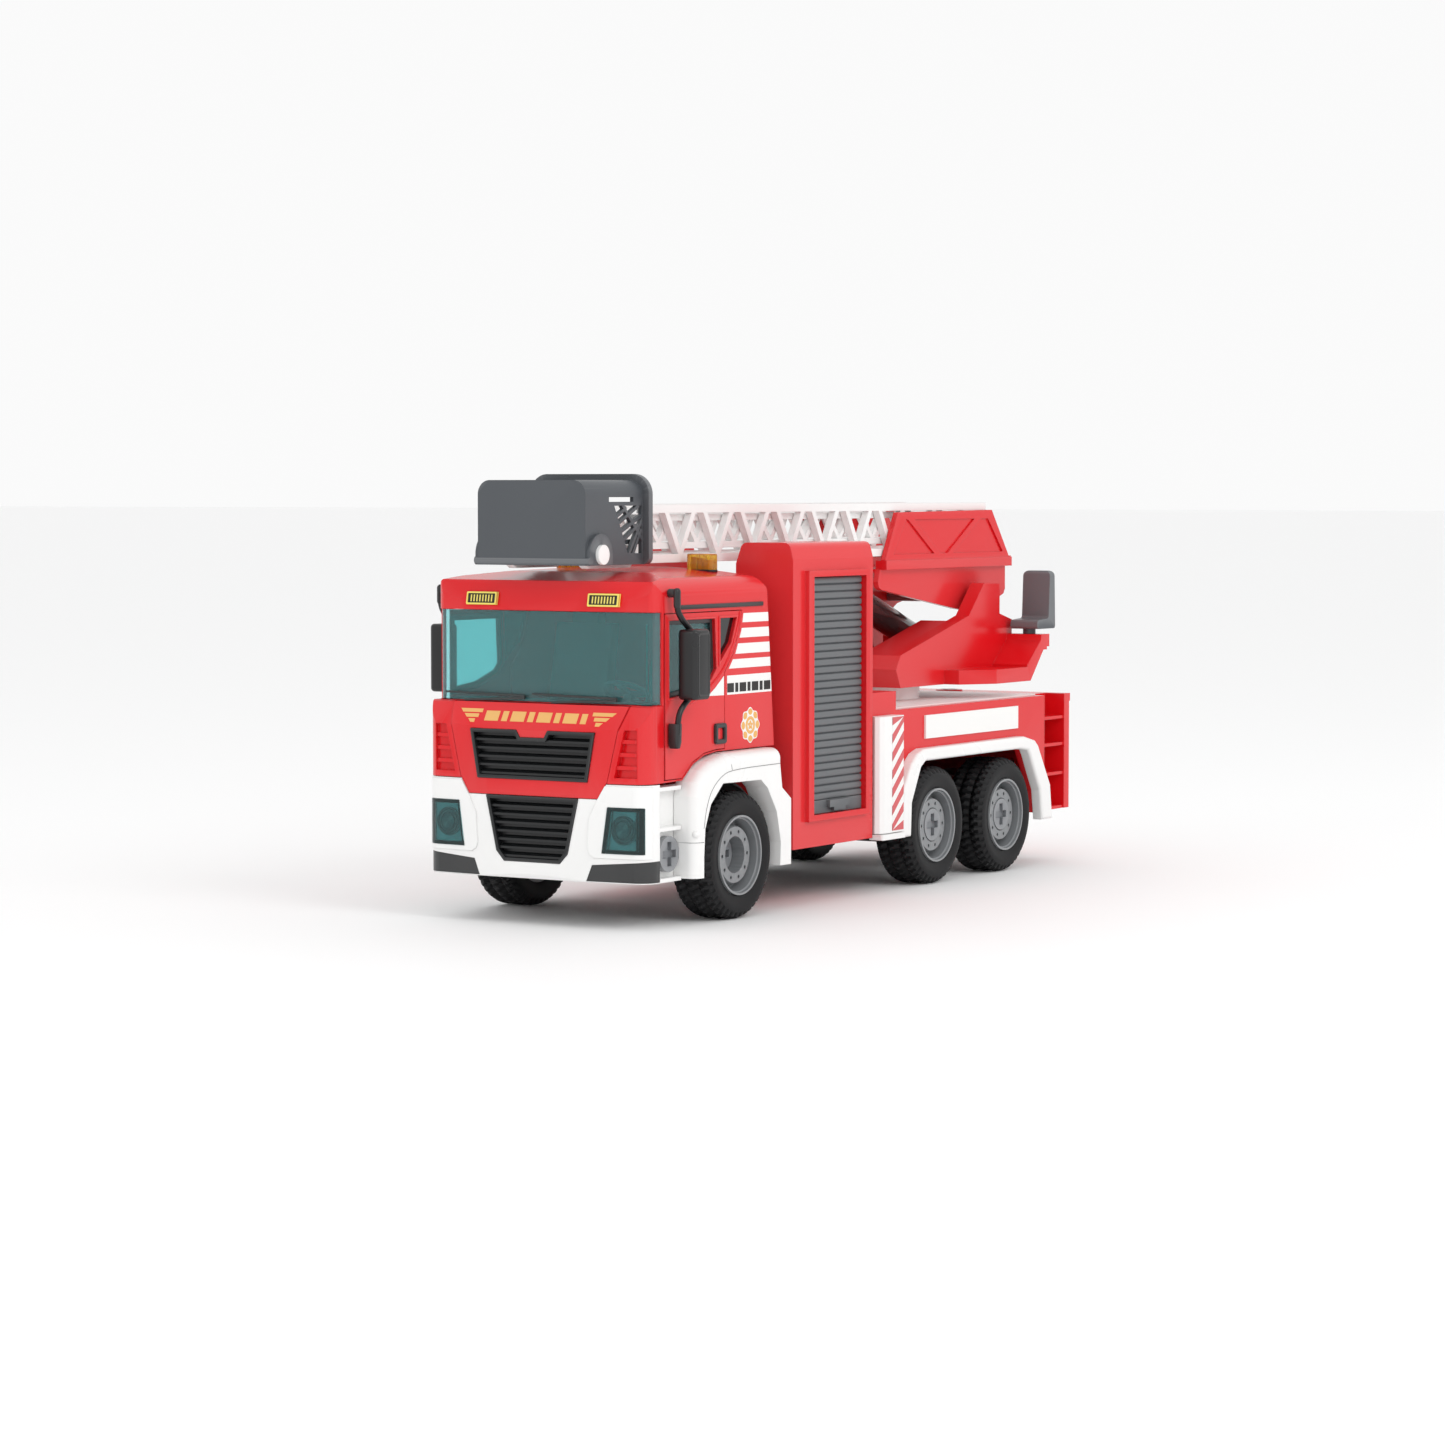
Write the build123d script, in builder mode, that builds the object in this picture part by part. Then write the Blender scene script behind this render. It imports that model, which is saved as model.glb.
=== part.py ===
from build123d import *

import os
from math import atan2, cos, hypot, sin

# Toy fire engine with a turntable ladder, in millimetres.
# Frame: +x is the vehicle's left, the front faces -y, +z is up and the wheels stand on z = 0.
# The origin is on the ground, in the middle of the vehicle's length and width.

# Overall shape
FRONT_Y = -198.0
REAR_Y = 198.0
CAB_HALF = 58.0
BODY_HALF = 60.0
CABINET_OUT = 63.0
CABINET_IN = 33.0
FENDER_OUT = 65.6
DECK_Z = 84.8

# Wheels
AXLES = {"front": -128.0, "middle": 52.0, "rear": 122.5}
SIDES = {"left": 1, "right": -1}
TYRE_R = 28.2
TYRE_IN = 42.6
TYRE_OUT = 63.4
RIM_R = 17.6
RIM_WALL = 2.0
STUB_R = 3.0
BOLT_HEAD_R = 7.75
BOLT_HEAD_THICK = 3.0
PLUS_LONG = 10.5
PLUS_WIDE = 3.3
RUNNING = 0.05

# Gap between pieces that move past each other, and between covers that meet
MOVE_GAP = 0.35
SEAM = 0.25

# Turntable and boom
SLEW_Y = 90.0
PEDESTAL_R = 28.0
TURRET_HALF = 37.0
TOWER_IN = 29.5
TURRET_Z = 92.5
PIVOT_Y = 156.5
PIVOT_Z = 134.0
PIVOT_R = 2.5
RAM_BASE_Y = 140.0
RAM_BASE_Z = 114.0
RAM_TIP_Y = 68.0
RAM_TIP_Z = 139.5
RAM_R = 7.0
RAM_ROD_R = 3.5
RAM_PIN_R = 1.6

# Ladder
BRACE_PITCH = 31.9
LADDER_FRONT = -147.4

# Basket
BASKET_PIN_Y = -188.0
BASKET_PIN_Z = 160.4
BASKET_FRONT = -197.6
BASKET_REAR = -149.6

# Lockers and shutters
LOCKER_Y = (-68.0, -20.8)
LOCKER_Z = (41.4, 149.0)
SLATS = 30
BAR_TOP = 47.6

# Outriggers
LEG_Y = (-10.2, 11.6)
LEG_X = (60.3, 67.0)
JACK_X = 63.7
JACK_Y = 1.0
JACK_R = 2.2
POST_Z = (28.5, 83.0)

os.makedirs("parts", exist_ok=True)


def keep(name, built):
    """Labels one finished piece and writes its STEP file."""
    built.part.label = name
    export_step(built.part, f"parts/{name}.step")


def outline_on(plane, points, radius=0.0):
    """A closed face on a plane, with one radius on all of its corners."""
    with BuildSketch(plane) as face:
        with BuildLine():
            if radius:
                FilletPolyline(*points, radius=radius, close=True)
            else:
                Polyline(*points, close=True)
        make_face()
    return face.sketch


def prism_x(points, x_from, x_to, radius=0.0, mode=Mode.ADD):
    """A side outline of (y, z) points, swept across the vehicle."""
    low, high = sorted((x_from, x_to))
    extrude(outline_on(Plane.YZ.offset(low), points, radius), amount=high - low, mode=mode)


def prism_y(points, y_from, y_to, radius=0.0, mode=Mode.ADD):
    """A front outline of (x, z) points, swept along the vehicle."""
    low, high = sorted((y_from, y_to))
    extrude(outline_on(Plane.XZ.offset(-high), points, radius), amount=high - low, mode=mode)


def prism_z(points, z_from, z_to, radius=0.0, mode=Mode.ADD):
    """A plan outline of (x, y) points, swept upwards."""
    extrude(outline_on(Plane.XY.offset(z_from), points, radius), amount=z_to - z_from, mode=mode)


def block(xs, ys, zs, mode=Mode.ADD):
    """A box between two corners."""
    x_low, x_high = sorted(xs)
    corners = [(x_low, ys[0]), (x_high, ys[0]), (x_high, ys[1]), (x_low, ys[1])]
    prism_z(corners, zs[0], zs[1], mode=mode)


def disc_x(y, z, radius, x_from, x_to, mode=Mode.ADD):
    """A cylinder whose axis runs across the vehicle."""
    low, high = sorted((x_from, x_to))
    with BuildSketch(Plane((low, y, z), x_dir=(0, 1, 0), z_dir=(1, 0, 0))) as face:
        Circle(radius)
    extrude(face.sketch, amount=high - low, mode=mode)


def disc_y(x, z, radius, y_from, y_to, mode=Mode.ADD):
    """A cylinder whose axis runs along the vehicle."""
    with BuildSketch(Plane((x, y_to, z), x_dir=(1, 0, 0), z_dir=(0, -1, 0))) as face:
        Circle(radius)
    extrude(face.sketch, amount=y_to - y_from, mode=mode)


def disc_z(x, y, radius, z_from, z_to, mode=Mode.ADD):
    """An upright cylinder."""
    with BuildSketch(Plane((x, y, z_from))) as face:
        Circle(radius)
    extrude(face.sketch, amount=z_to - z_from, mode=mode)


# Wheels: a rubber tyre on a moulded rim that turns on a large plus-head bolt.


def tyre(name, side, axle_y):
    plane = Plane((0, axle_y, TYRE_R), x_dir=(1, 0, 0), z_dir=(0, 0, 1))
    shoulder = 3.0
    bulge = 1.2
    with BuildPart() as part:
        with BuildSketch(plane):
            with BuildLine():
                Polyline(
                    (TYRE_IN + bulge, RIM_R + SEAM / 5),
                    (TYRE_IN, TYRE_R - 6.5),
                    (TYRE_IN + 0.6, TYRE_R - shoulder),
                    (TYRE_IN + shoulder, TYRE_R - 0.3),
                    (TYRE_IN + 2 * shoulder, TYRE_R),
                    (TYRE_OUT - 2 * shoulder, TYRE_R),
                    (TYRE_OUT - shoulder, TYRE_R - 0.3),
                    (TYRE_OUT - 0.6, TYRE_R - shoulder),
                    (TYRE_OUT, TYRE_R - 6.5),
                    (TYRE_OUT - bulge, RIM_R + SEAM / 5),
                    close=True,
                )
            make_face()
        revolve(axis=Axis((0, axle_y, TYRE_R), (1, 0, 0)))
        if side < 0:
            mirror(about=Plane.YZ, mode=Mode.REPLACE)
    keep(name, part)


def rim(name, side, axle_y, seat_x):
    """seat_x is where the bolt's head bears: deep in a cup in front, nearly flush behind."""
    plane = Plane((0, axle_y, TYRE_R), x_dir=(1, 0, 0), z_dir=(0, 0, 1))
    lip = TYRE_OUT - 0.2
    disc_out = 60.0
    cup_r = BOLT_HEAD_R + MOVE_GAP
    web = 2.2
    dish = 4.6
    hole_count = 10
    hole_ring = 10.4
    window_ring = 14.0
    with BuildPart() as part:
        with BuildSketch(plane):
            with BuildLine():
                Polyline(
                    (TYRE_IN + 1.6, STUB_R + RUNNING),
                    (seat_x, STUB_R + RUNNING),
                    (seat_x, cup_r),
                    (disc_out, cup_r),
                    (disc_out, 12.4),
                    (disc_out - dish, 14.2),
                    (disc_out - dish, 15.2),
                    (lip - 1.6, 15.9),
                    (lip - 1.2, 16.5),
                    (lip, 16.7),
                    (lip, RIM_R),
                    (TYRE_IN + 1.6, RIM_R),
                    (TYRE_IN + 1.6, RIM_R - RIM_WALL),
                    (disc_out - dish - web, RIM_R - RIM_WALL),
                    (disc_out - dish - web, cup_r + web),
                    (seat_x - web, cup_r + web),
                    (seat_x - web, STUB_R + 2.4),
                    (TYRE_IN + 1.6, STUB_R + 2.4),
                    close=True,
                )
            make_face()
        revolve(axis=Axis((0, axle_y, TYRE_R), (1, 0, 0)))
        holes = Plane((disc_out, axle_y, TYRE_R), x_dir=(0, 1, 0), z_dir=(1, 0, 0))
        with BuildSketch(holes):
            with PolarLocations(hole_ring, hole_count):
                Circle(0.8)
        extrude(amount=-1.2, mode=Mode.SUBTRACT)
        with BuildSketch(holes):
            with PolarLocations(window_ring, hole_count, start_angle=180 / hole_count):
                Circle(1.3)
        extrude(amount=-dish - web - 1.0, mode=Mode.SUBTRACT)
        if side < 0:
            mirror(about=Plane.YZ, mode=Mode.REPLACE)
    keep(name, part)


def plus_bolt(side, axle_y, height, shank_from, head_from):
    """A bolt across the vehicle with a large flat head and a plus-shaped recess."""
    head_to = head_from + BOLT_HEAD_THICK
    disc_x(axle_y, height, BOLT_HEAD_R, side * head_from, side * head_to)
    disc_x(axle_y, height, STUB_R, side * shank_from, side * head_from)
    floor = head_to - 1.8
    long, wide = PLUS_LONG / 2, PLUS_WIDE / 2
    for half_y, half_z in ((long, wide), (wide, long)):
        ys = (axle_y - half_y, axle_y + half_y)
        block((side * floor, side * head_to), ys, (height - half_z, height + half_z), Mode.SUBTRACT)


FRONT_SEAT = 50.5
REAR_SEAT = 57.0


def wheels():
    for axle, axle_y in AXLES.items():
        seat_x = FRONT_SEAT if axle == "front" else REAR_SEAT
        for side_name, side in SIDES.items():
            tyre(f"tyre_{axle}_{side_name}", side, axle_y)
            rim(f"rim_{axle}_{side_name}", side, axle_y, seat_x)


def wheel_bolts():
    with BuildPart() as part:
        for axle, axle_y in AXLES.items():
            seat_x = FRONT_SEAT if axle == "front" else REAR_SEAT
            for side in SIDES.values():
                plus_bolt(side, axle_y, TYRE_R, 30.0, seat_x + 0.3)
    keep("wheel_bolts", part)


# Chassis: two rails, cross members, axle carriers and sleeves for the outrigger beams.

RAIL_X = (20.0, 28.0)
RAIL_Z = (24.0, 46.0)
PLATFORM_Z = (46.0, 50.0)
CARRIER_OUT = 41.4
BEAM_Y = (-3.0, 7.0)
BEAM_Z = (36.0, 44.0)
BEAM_IN = 12.0


def chassis_frame():
    cross_members = (-180.0, -150.0, -100.0, -60.0, -20.0, 22.0, 87.0, 155.0, 185.0)
    rail_y = (-184.3, 190.0)
    with BuildPart() as part:
        for side in SIDES.values():
            block((side * RAIL_X[0], side * RAIL_X[1]), rail_y, RAIL_Z)
            for axle_y in AXLES.values():
                carrier = (axle_y - 9.0, axle_y + 9.0)
                block((side * 14.0, side * CARRIER_OUT), carrier, (19.5, 37.0))
                hole = STUB_R + RUNNING
                disc_x(axle_y, TYRE_R, hole, side * 29.9, side * CARRIER_OUT, Mode.SUBTRACT)
            sleeve_y = (BEAM_Y[0] - 3.0, BEAM_Y[1] + 3.0)
            sleeve_z = (BEAM_Z[0] - 3.0, PLATFORM_Z[0])
            block((side * RAIL_X[0], side * 56.5), sleeve_y, sleeve_z)
            tunnel_y = (BEAM_Y[0] - MOVE_GAP, BEAM_Y[1] + MOVE_GAP)
            tunnel_z = (BEAM_Z[0] - MOVE_GAP, BEAM_Z[1] + MOVE_GAP)
            block((side * (BEAM_IN - 1), side * 56.6), tunnel_y, tunnel_z, Mode.SUBTRACT)
            block((side * 28.0, side * 56.5), (30.0, 146.0), (60.6, 62.6))
        for member_y in cross_members:
            block((-RAIL_X[0], RAIL_X[0]), (member_y - 4, member_y + 4), (28.0, 42.0))
        block((-RAIL_X[0], RAIL_X[0]), rail_y, (RAIL_Z[0], RAIL_Z[0] + 2.4))
        block((-32.4, 32.4), (-160.0, 190.0), PLATFORM_Z)
    keep("chassis_frame", part)


# Cab: a shell cut from a side outline, a plan outline and a front outline.

FENDER_LINE = [(-168.0, 63.4), (-159.2, 69.9), (-150.1, 73.2), (-140.0, 74.3)]
ROOF_LINE = [(-97.4, 145.0), (-101.0, 149.3), (-107.7, 152.8), (-116.0, 154.0), (-128.0, 153.7)]
CAB_SILL_Z = 96.2
CAB_REAR_LOW = (-91.3, 74.3)
CAB_REAR_SILL = (-93.2, CAB_SILL_Z)
VISOR_LOW_Z = 136.0
PANEL = [(-45.8, 95.9), (-38.1, 63.5), (-33.6, 56.3), (33.6, 56.3), (38.1, 63.5), (45.8, 95.9)]


def lower_plan(front, mode):
    """Bowed front with rounded corners, running back along the cab's sides."""
    corner = front + 2.4
    with BuildSketch(Plane.XY.offset(15.0)) as plan:
        with BuildLine():
            ThreePointArc((-51.0, corner), (0, front), (51.0, corner))
            ThreePointArc((51.0, corner), (56.0, corner + 2.7), (CAB_HALF, corner + 8.0))
            shoulder = corner + 8.0
            Polyline((CAB_HALF, shoulder), (CAB_HALF, -60.0), (-CAB_HALF, -60.0), (-CAB_HALF, shoulder))
            ThreePointArc((-CAB_HALF, corner + 8.0), (-56.0, corner + 2.7), (-51.0, corner))
        make_face()
    extrude(plan.sketch, amount=90.0, mode=mode)


def upper_plan(inset, mode):
    """The cab above its sill: nearly flat front, small corners, taken in by an inset."""
    half = CAB_HALF - inset
    front = -189.4 + inset
    with BuildSketch(Plane.XY.offset(90.0)) as plan:
        with BuildLine():
            ThreePointArc((inset - 53.5, front + 1.6), (0, front), (53.5 - inset, front + 1.6))
            ThreePointArc((53.5 - inset, front + 1.6), (half - 1.2, front + 3.9), (half, front + 7.5))
            Polyline((half, front + 7.5), (half, -60.0), (-half, -60.0), (-half, front + 7.5))
            ThreePointArc((-half, front + 7.5), (1.2 - half, front + 3.9), (inset - 53.5, front + 1.6))
        make_face()
    extrude(plan.sketch, amount=70.0, mode=mode)


def cab_lower_volume():
    with BuildPart() as part:
        side = [(-196.6, 62.9), FENDER_LINE[0], *FENDER_LINE[1:], CAB_REAR_LOW, CAB_REAR_SILL]
        front = [(-189.0, CAB_SILL_Z), (-190.4, 95.6), (-196.6, 84.6)]
        prism_x(side + front, -CAB_HALF, CAB_HALF)
        lower_plan(FRONT_Y, Mode.INTERSECT)
    return part.part


def cab_upper_volume(inset=0.0):
    """The greenhouse with its bowed roof and rounded roof edges."""
    rear_y, sill_z = CAB_REAR_SILL
    rear_sill = (rear_y - inset, sill_z)
    roof = [(min(y, ROOF_LINE[0][0] - inset), z - inset) for y, z in ROOF_LINE]
    visor = [(-160.0, 152.4 - inset), (-186.6, 149.0 - inset), (-189.3 + inset, VISOR_LOW_Z)]
    low = CAB_SILL_Z - 0.01
    with BuildPart() as part:
        prism_x([rear_sill, *roof, *visor, (-189.3 + inset, low)], -CAB_HALF, CAB_HALF)
        upper_plan(inset, Mode.INTERSECT)
        half = CAB_HALF - inset
        with BuildSketch(Plane.XZ.offset(60.0)) as front:
            with BuildLine():
                Polyline((half, 142.0), (half, 80.0), (-half, 80.0), (-half, 142.0))
                ThreePointArc((-half, 142.0), (2.4 - half, 148.2 - inset), (8.0 - half, 150.6 - inset))
                ThreePointArc((8.0 - half, 150.6 - inset), (0, 154.4 - inset), (half - 8.0, 150.6 - inset))
                ThreePointArc((half - 8.0, 150.6 - inset), (half - 2.4, 148.2 - inset), (half, 142.0))
            make_face()
        extrude(front.sketch, amount=140.0, mode=Mode.INTERSECT)
    return part.part


DOOR_FRONT = -181.3
DOOR_OUTLINE = [
    (DOOR_FRONT, 64.4), (-168.2, 64.4), (-159.4, 70.9), (-150.3, 74.2), (-140.0, 75.3), (-133.4, 75.3),
    (-133.4, 108.7), (-126.3, 116.4), (-121.2, 126.7), (-119.0, 135.2), (DOOR_FRONT, 135.2),
]
DOOR_SKIN = (55.5, 58.0)
WINDOW = [
    (-178.6, 99.0), (-178.6, 132.4), (-141.6, 132.4), (-140.4, 110.3), (-144.8, 105.8), (-160.0, 101.0),
]
QUARTER = [(-137.2, 113.4), (-137.2, 132.4), (-123.4, 132.4), (-128.0, 121.5)]
MARKER = [(-189.9, 138.2), (-188.9, 143.8), (-187.2, 143.8), (-188.0, 138.2)]
MARKER_X = (23.9, 39.7)
BEACON_X = (28.0, 42.0)
BEACON_Y = (-118.0, -112.0)
BEACON_Z = (151.8, 160.0)
VENT_Z = (65.6, 86.0)


def marker_lights():
    with BuildPart() as part:
        for side in SIDES.values():
            prism_x(MARKER, side * MARKER_X[0], side * MARKER_X[1])
    keep("marker_lights", part)
    return part.part


def roof_beacons():
    with BuildPart() as part:
        for side in SIDES.values():
            block((side * BEACON_X[0], side * BEACON_X[1]), BEACON_Y, BEACON_Z)
        fillet(part.edges().filter_by(Axis.Z), radius=1.8)
        fillet(part.edges().group_by(Axis.Z)[-1], radius=0.9)
    keep("roof_beacons", part)
    return part.part


def grown(points, amount):
    """An outline moved outwards all round by a small amount."""
    with BuildSketch(Plane.XY) as face:
        with BuildLine():
            Polyline(*points, close=True)
        make_face()
        offset(amount=amount, kind=Kind.INTERSECTION)
    ring = face.sketch.faces()[0].outer_wire()
    return [(vertex.X, vertex.Y) for vertex in (edge.position_at(0) for edge in ring.order_edges())]


def cab_shell(lights, beacons):
    with BuildPart() as part:
        add(cab_lower_volume())
        add(cab_upper_volume())
        windscreen_zone = (VISOR_LOW_Z, CAB_SILL_Z)
        block((-70, 70), (-200.0, -183.5), (windscreen_zone[1] + 0.2, windscreen_zone[0]), Mode.SUBTRACT)
        add(cab_upper_volume(3.0), mode=Mode.SUBTRACT)
        block((-55.0, 55.0), (-188.0, -97.0), (78.0, 98.0), Mode.SUBTRACT)
        block((-49.5, 49.5), (-193.0, -160.0), (61.0, 90.0), Mode.SUBTRACT)
        prism_y(grown(PANEL, SEAM), -200.0, -188.0, mode=Mode.SUBTRACT)
        for side in SIDES.values():
            opening = [(y - 0.8 if y == DOOR_FRONT else y, z) for y, z in DOOR_OUTLINE]
            prism_x(grown(opening, MOVE_GAP), side * 54.0, side * 59.0, mode=Mode.SUBTRACT)
            low, high = VENT_Z
            vent = [(41.6, low), (52.5, low), (52.5, high), (46.6, high)]
            prism_y([(side * x, z) for x, z in vent], -200.0, -193.6, mode=Mode.SUBTRACT)
        add(lights, mode=Mode.SUBTRACT)
        add(beacons, mode=Mode.SUBTRACT)
    with BuildPart() as vents:
        louvre_pitch = 5.6
        for side in SIDES.values():
            for step in range(3):
                z = VENT_Z[0] + 3.4 + step * louvre_pitch
                block((side * 40.0, side * 53.2), (-199.0, -193.4), (z, z + 1.8))
        lower_plan(FRONT_Y + 0.8, Mode.INTERSECT)
        prism_y(grown(PANEL, SEAM), -200.0, -188.0, mode=Mode.SUBTRACT)
    with BuildPart() as joined:
        add(part.part)
        add(vents.part)
    keep("cab_shell", joined)


def front_panel():
    with BuildPart() as part:
        outside = [(-197.5, 56.3), (-197.5, 84.6), (-190.8, 95.9)]
        inside = [(-188.2, 95.9), (-195.0, 83.6), (-195.0, 56.3)]
        prism_x(outside + inside, -46.0, 46.0)
        lower_plan(FRONT_Y, Mode.INTERSECT)
        prism_y(PANEL, -199.0, -187.0, mode=Mode.INTERSECT)
        prism_y(grown(UPPER_GRILLE, 0.1), -199.0, -190.0, mode=Mode.SUBTRACT)
    keep("front_panel", part)


UPPER_GRILLE = [
    (-32.4, 84.6), (-8.2, 84.6), (-6.3, 81.4), (6.3, 81.4), (8.2, 84.6), (32.4, 84.6),
    (28.6, 63.3), (-28.6, 63.3),
]
LOWER_GRILLE = [(-24.0, 56.0), (24.0, 56.0), (18.6, 32.0), (14.6, 27.6), (-14.6, 27.6), (-18.6, 32.0)]


def grille(outline, front, back, slats):
    """A black frame with slanted louvres and a closed back."""
    heights = [corner[1] for corner in outline]
    low, high = min(heights), max(heights)
    pitch = (high - low - 3.2) / slats
    half = max(corner[0] for corner in outline)
    for step in range(slats):
        z = low + 1.7 + step * pitch
        blade = [(front + 0.9, z), (front + 0.9, z + 1.0), (back - 0.6, z + 2.3), (back - 0.6, z + 1.3)]
        prism_x(blade, -half, half)
    prism_y(outline, front, back, mode=Mode.INTERSECT)
    with BuildSketch(Plane.XZ.offset(-back)) as ring:
        with BuildLine():
            Polyline(*outline, close=True)
        make_face()
        offset(amount=-1.5, kind=Kind.INTERSECTION, mode=Mode.SUBTRACT)
    extrude(ring.sketch, amount=back - front)
    prism_y(outline, back - 0.9, back)


def upper_grille():
    with BuildPart() as part:
        grille(UPPER_GRILLE, -197.9, -193.4, 5)
    keep("upper_grille", part)


def windscreen():
    with BuildPart() as part:
        add(cab_upper_volume(0.5))
        add(cab_upper_volume(2.3), mode=Mode.SUBTRACT)
        block((-60, 60), (-190.0, -183.8), (CAB_SILL_Z + 0.4, VISOR_LOW_Z - 0.2), Mode.INTERSECT)
    keep("windscreen", part)


def wipers():
    blade_z = 99.4
    with BuildPart() as part:
        for start, end in ((-50.6, -8.7), (-4.5, 39.1)):
            end_z = blade_z - 0.9
            blade = [(start, blade_z), (end, end_z), (end, end_z + 0.9), (start, blade_z + 0.9)]
            prism_y(blade, -190.6, -189.5)
            foot = start + 10.0
            arm = [(foot, blade_z - 2.4), (end, end_z), (end, end_z - 1.0), (foot, blade_z - 3.2)]
            prism_y(arm, -190.8, -189.7)
    keep("wipers", part)


def cab_interior():
    with BuildPart() as part:
        block((-52.0, 52.0), (-183.0, -170.0), (78.2, 97.0))
        block((-54.0, 54.0), (-169.6, -99.0), (78.0, 79.0))
        for centre in (-28.0, 28.0):
            cushion = (centre - 15.0, centre + 15.0)
            block(cushion, (-146.0, -116.0), (79.0, 88.0))
            back = [(-122.0, 88.0), (-114.0, 88.0), (-108.0, 128.0), (-114.0, 128.0)]
            prism_x(back, centre - 15.0, centre + 15.0)
            block((centre - 7.0, centre + 7.0), (-113.0, -107.5), (128.0, 136.0))
        column = Plane((28.0, -164.0, 99.0), x_dir=(1, 0, 0), z_dir=(0, 0.5, 0.87))
        with BuildSketch(column) as ring:
            Circle(11.0)
            Circle(9.2, mode=Mode.SUBTRACT)
            Rectangle(20.0, 2.4)
            Rectangle(2.4, 20.0)
        extrude(ring.sketch, amount=1.8)
        with BuildSketch(column) as post:
            Circle(1.8)
        extrude(post.sketch, amount=-12.0)
    keep("cab_interior", part)


def door(name, side):
    with BuildPart() as part:
        prism_x(DOOR_OUTLINE, side * DOOR_SKIN[0], side * DOOR_SKIN[1])
        prism_x(WINDOW, side * 50.0, side * 59.0, mode=Mode.SUBTRACT)
        prism_x(QUARTER, side * 50.0, side * 59.0, mode=Mode.SUBTRACT)
    keep(name, part)


def door_glass(name, side):
    inner = DOOR_SKIN[0] - 0.9
    with BuildPart() as part:
        prism_x(grown(WINDOW, 1.0), side * inner, side * DOOR_SKIN[0])
        prism_x(grown(QUARTER, 1.0), side * inner, side * DOOR_SKIN[0])
    keep(name, part)


def door_trim(name, side):
    """The handle and the mirror on its two arms, which the door carries."""
    out = DOOR_SKIN[1]
    with BuildPart() as part:
        handle = [(-142.4, 77.4), (-132.9, 77.4), (-132.9, 86.6), (-142.4, 86.6)]
        prism_x(handle, side * out, side * (out + 1.4), radius=1.0)
        block((side * out, side * (out + 2.0)), (-140.4, -136.2), (79.4, 84.6), Mode.SUBTRACT)
        housing = [(60.4, -176.2), (70.3, -176.2), (70.3, -164.0), (63.4, -164.0), (60.4, -168.0)]
        prism_z([(side * x, y) for x, y in housing], 98.4, 128.8, radius=1.6)
        upper = [
            (-180.2, 146.4), (-180.2, 138.6), (-176.0, 132.0), (-170.8, 127.6), (-167.8, 127.6),
            (-173.4, 134.2), (-176.2, 139.6), (-176.2, 146.4),
        ]
        prism_x(upper, side * 60.6, side * 63.6)
        disc_x(-178.2, 144.2, 1.9, side * (out + 0.3), side * 60.7)
        lower = [
            (-180.2, 77.6), (-176.0, 77.6), (-175.4, 88.4), (-169.4, 96.4), (-169.4, 99.4),
            (-173.0, 99.4), (-179.2, 90.0),
        ]
        prism_x(lower, side * 60.6, side * 63.6)
        disc_x(-177.9, 80.4, 1.9, side * out, side * 60.7)
    keep(name, part)


# Bumper: white front bar with raised lamp panels, side shelves and black inserts.

BUMPER_TOP = 62.6
BUMPER_LOW = 20.4
WALL_X = (51.8, 53.8)
LENS = [(38.8, 52.9), (36.0, 33.2), (56.6, 33.2), (56.6, 52.9)]
LIP = [(28.0, 20.9), (30.8, 27.8), (62.0, 30.2), (62.0, 20.9)]
POD = [(36.6, 62.0), (29.6, 48.0), (28.7, 35.2), (29.6, 32.4), (32.0, 31.0), (62.0, 31.0), (62.0, 62.0)]
POD_LIFT = 0.6
LENS_LIFT = 0.9


def bumper_bar(front, depth):
    """A bowed bar that follows the cab's plan."""
    lower_plan(front, Mode.ADD)
    low = BUMPER_LOW - 15.0
    block((-70, 70), (-205.0, front + depth), (15.0 + low, BUMPER_TOP), Mode.INTERSECT)


def lamp_pods():
    """The raised panels around the headlights."""
    with BuildPart() as zone:
        for side in SIDES.values():
            prism_y([(side * x, z) for x, z in POD], -205.0, -180.0)
    with BuildPart() as part:
        lower_plan(FRONT_Y - POD_LIFT, Mode.ADD)
        block((-70, 70), (-205.0, -190.6), (31.0, 62.0), Mode.INTERSECT)
        add(zone.part, mode=Mode.INTERSECT)
        prism_y(grown(PANEL, SEAM), -200.0, -180.0, mode=Mode.SUBTRACT)
    return part.part


def front_bumper():
    pods = lamp_pods()
    with BuildPart() as bar:
        bumper_bar(FRONT_Y, 12.4)
        add(pods)
        block((-49.0, 49.0), (-193.4, -180.0), (BUMPER_LOW - 1, BUMPER_TOP + 1), Mode.SUBTRACT)
        prism_y(grown(PANEL, SEAM), -200.0, -180.0, mode=Mode.SUBTRACT)
        prism_y(grown(LOWER_GRILLE, 0.1), -200.0, -180.0, mode=Mode.SUBTRACT)
        crease = [(-199.0, 24.6), (-199.0, 19.0), (-196.6, 19.0)]
        prism_x(crease, -70, 70, mode=Mode.SUBTRACT)
        for side in SIDES.values():
            prism_y([(side * x, z) for x, z in grown(LENS, 0.1)], -200.0, -193.9, mode=Mode.SUBTRACT)
            prism_y([(side * x, z) for x, z in grown(LIP, 0.1)], -200.0, -185.4, mode=Mode.SUBTRACT)
    with BuildPart() as part:
        add(bar.part)
        for side in SIDES.values():
            block((side * WALL_X[0], side * WALL_X[1]), (-188.0, -161.0), (BUMPER_LOW, 61.6))
            block((side * 44.0, side * WALL_X[1]), (-188.0, -185.6), (BUMPER_LOW, 61.6))
            for shelf_z in (BUMPER_LOW, 42.3, 59.6):
                block((side * WALL_X[0], side * CAB_HALF), (-185.6, -168.7), (shelf_z, shelf_z + 1.8))
        block((-50.5, 50.5), (-186.6, -184.4), (BUMPER_LOW, 34.0))
    keep("front_bumper", part)


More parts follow.
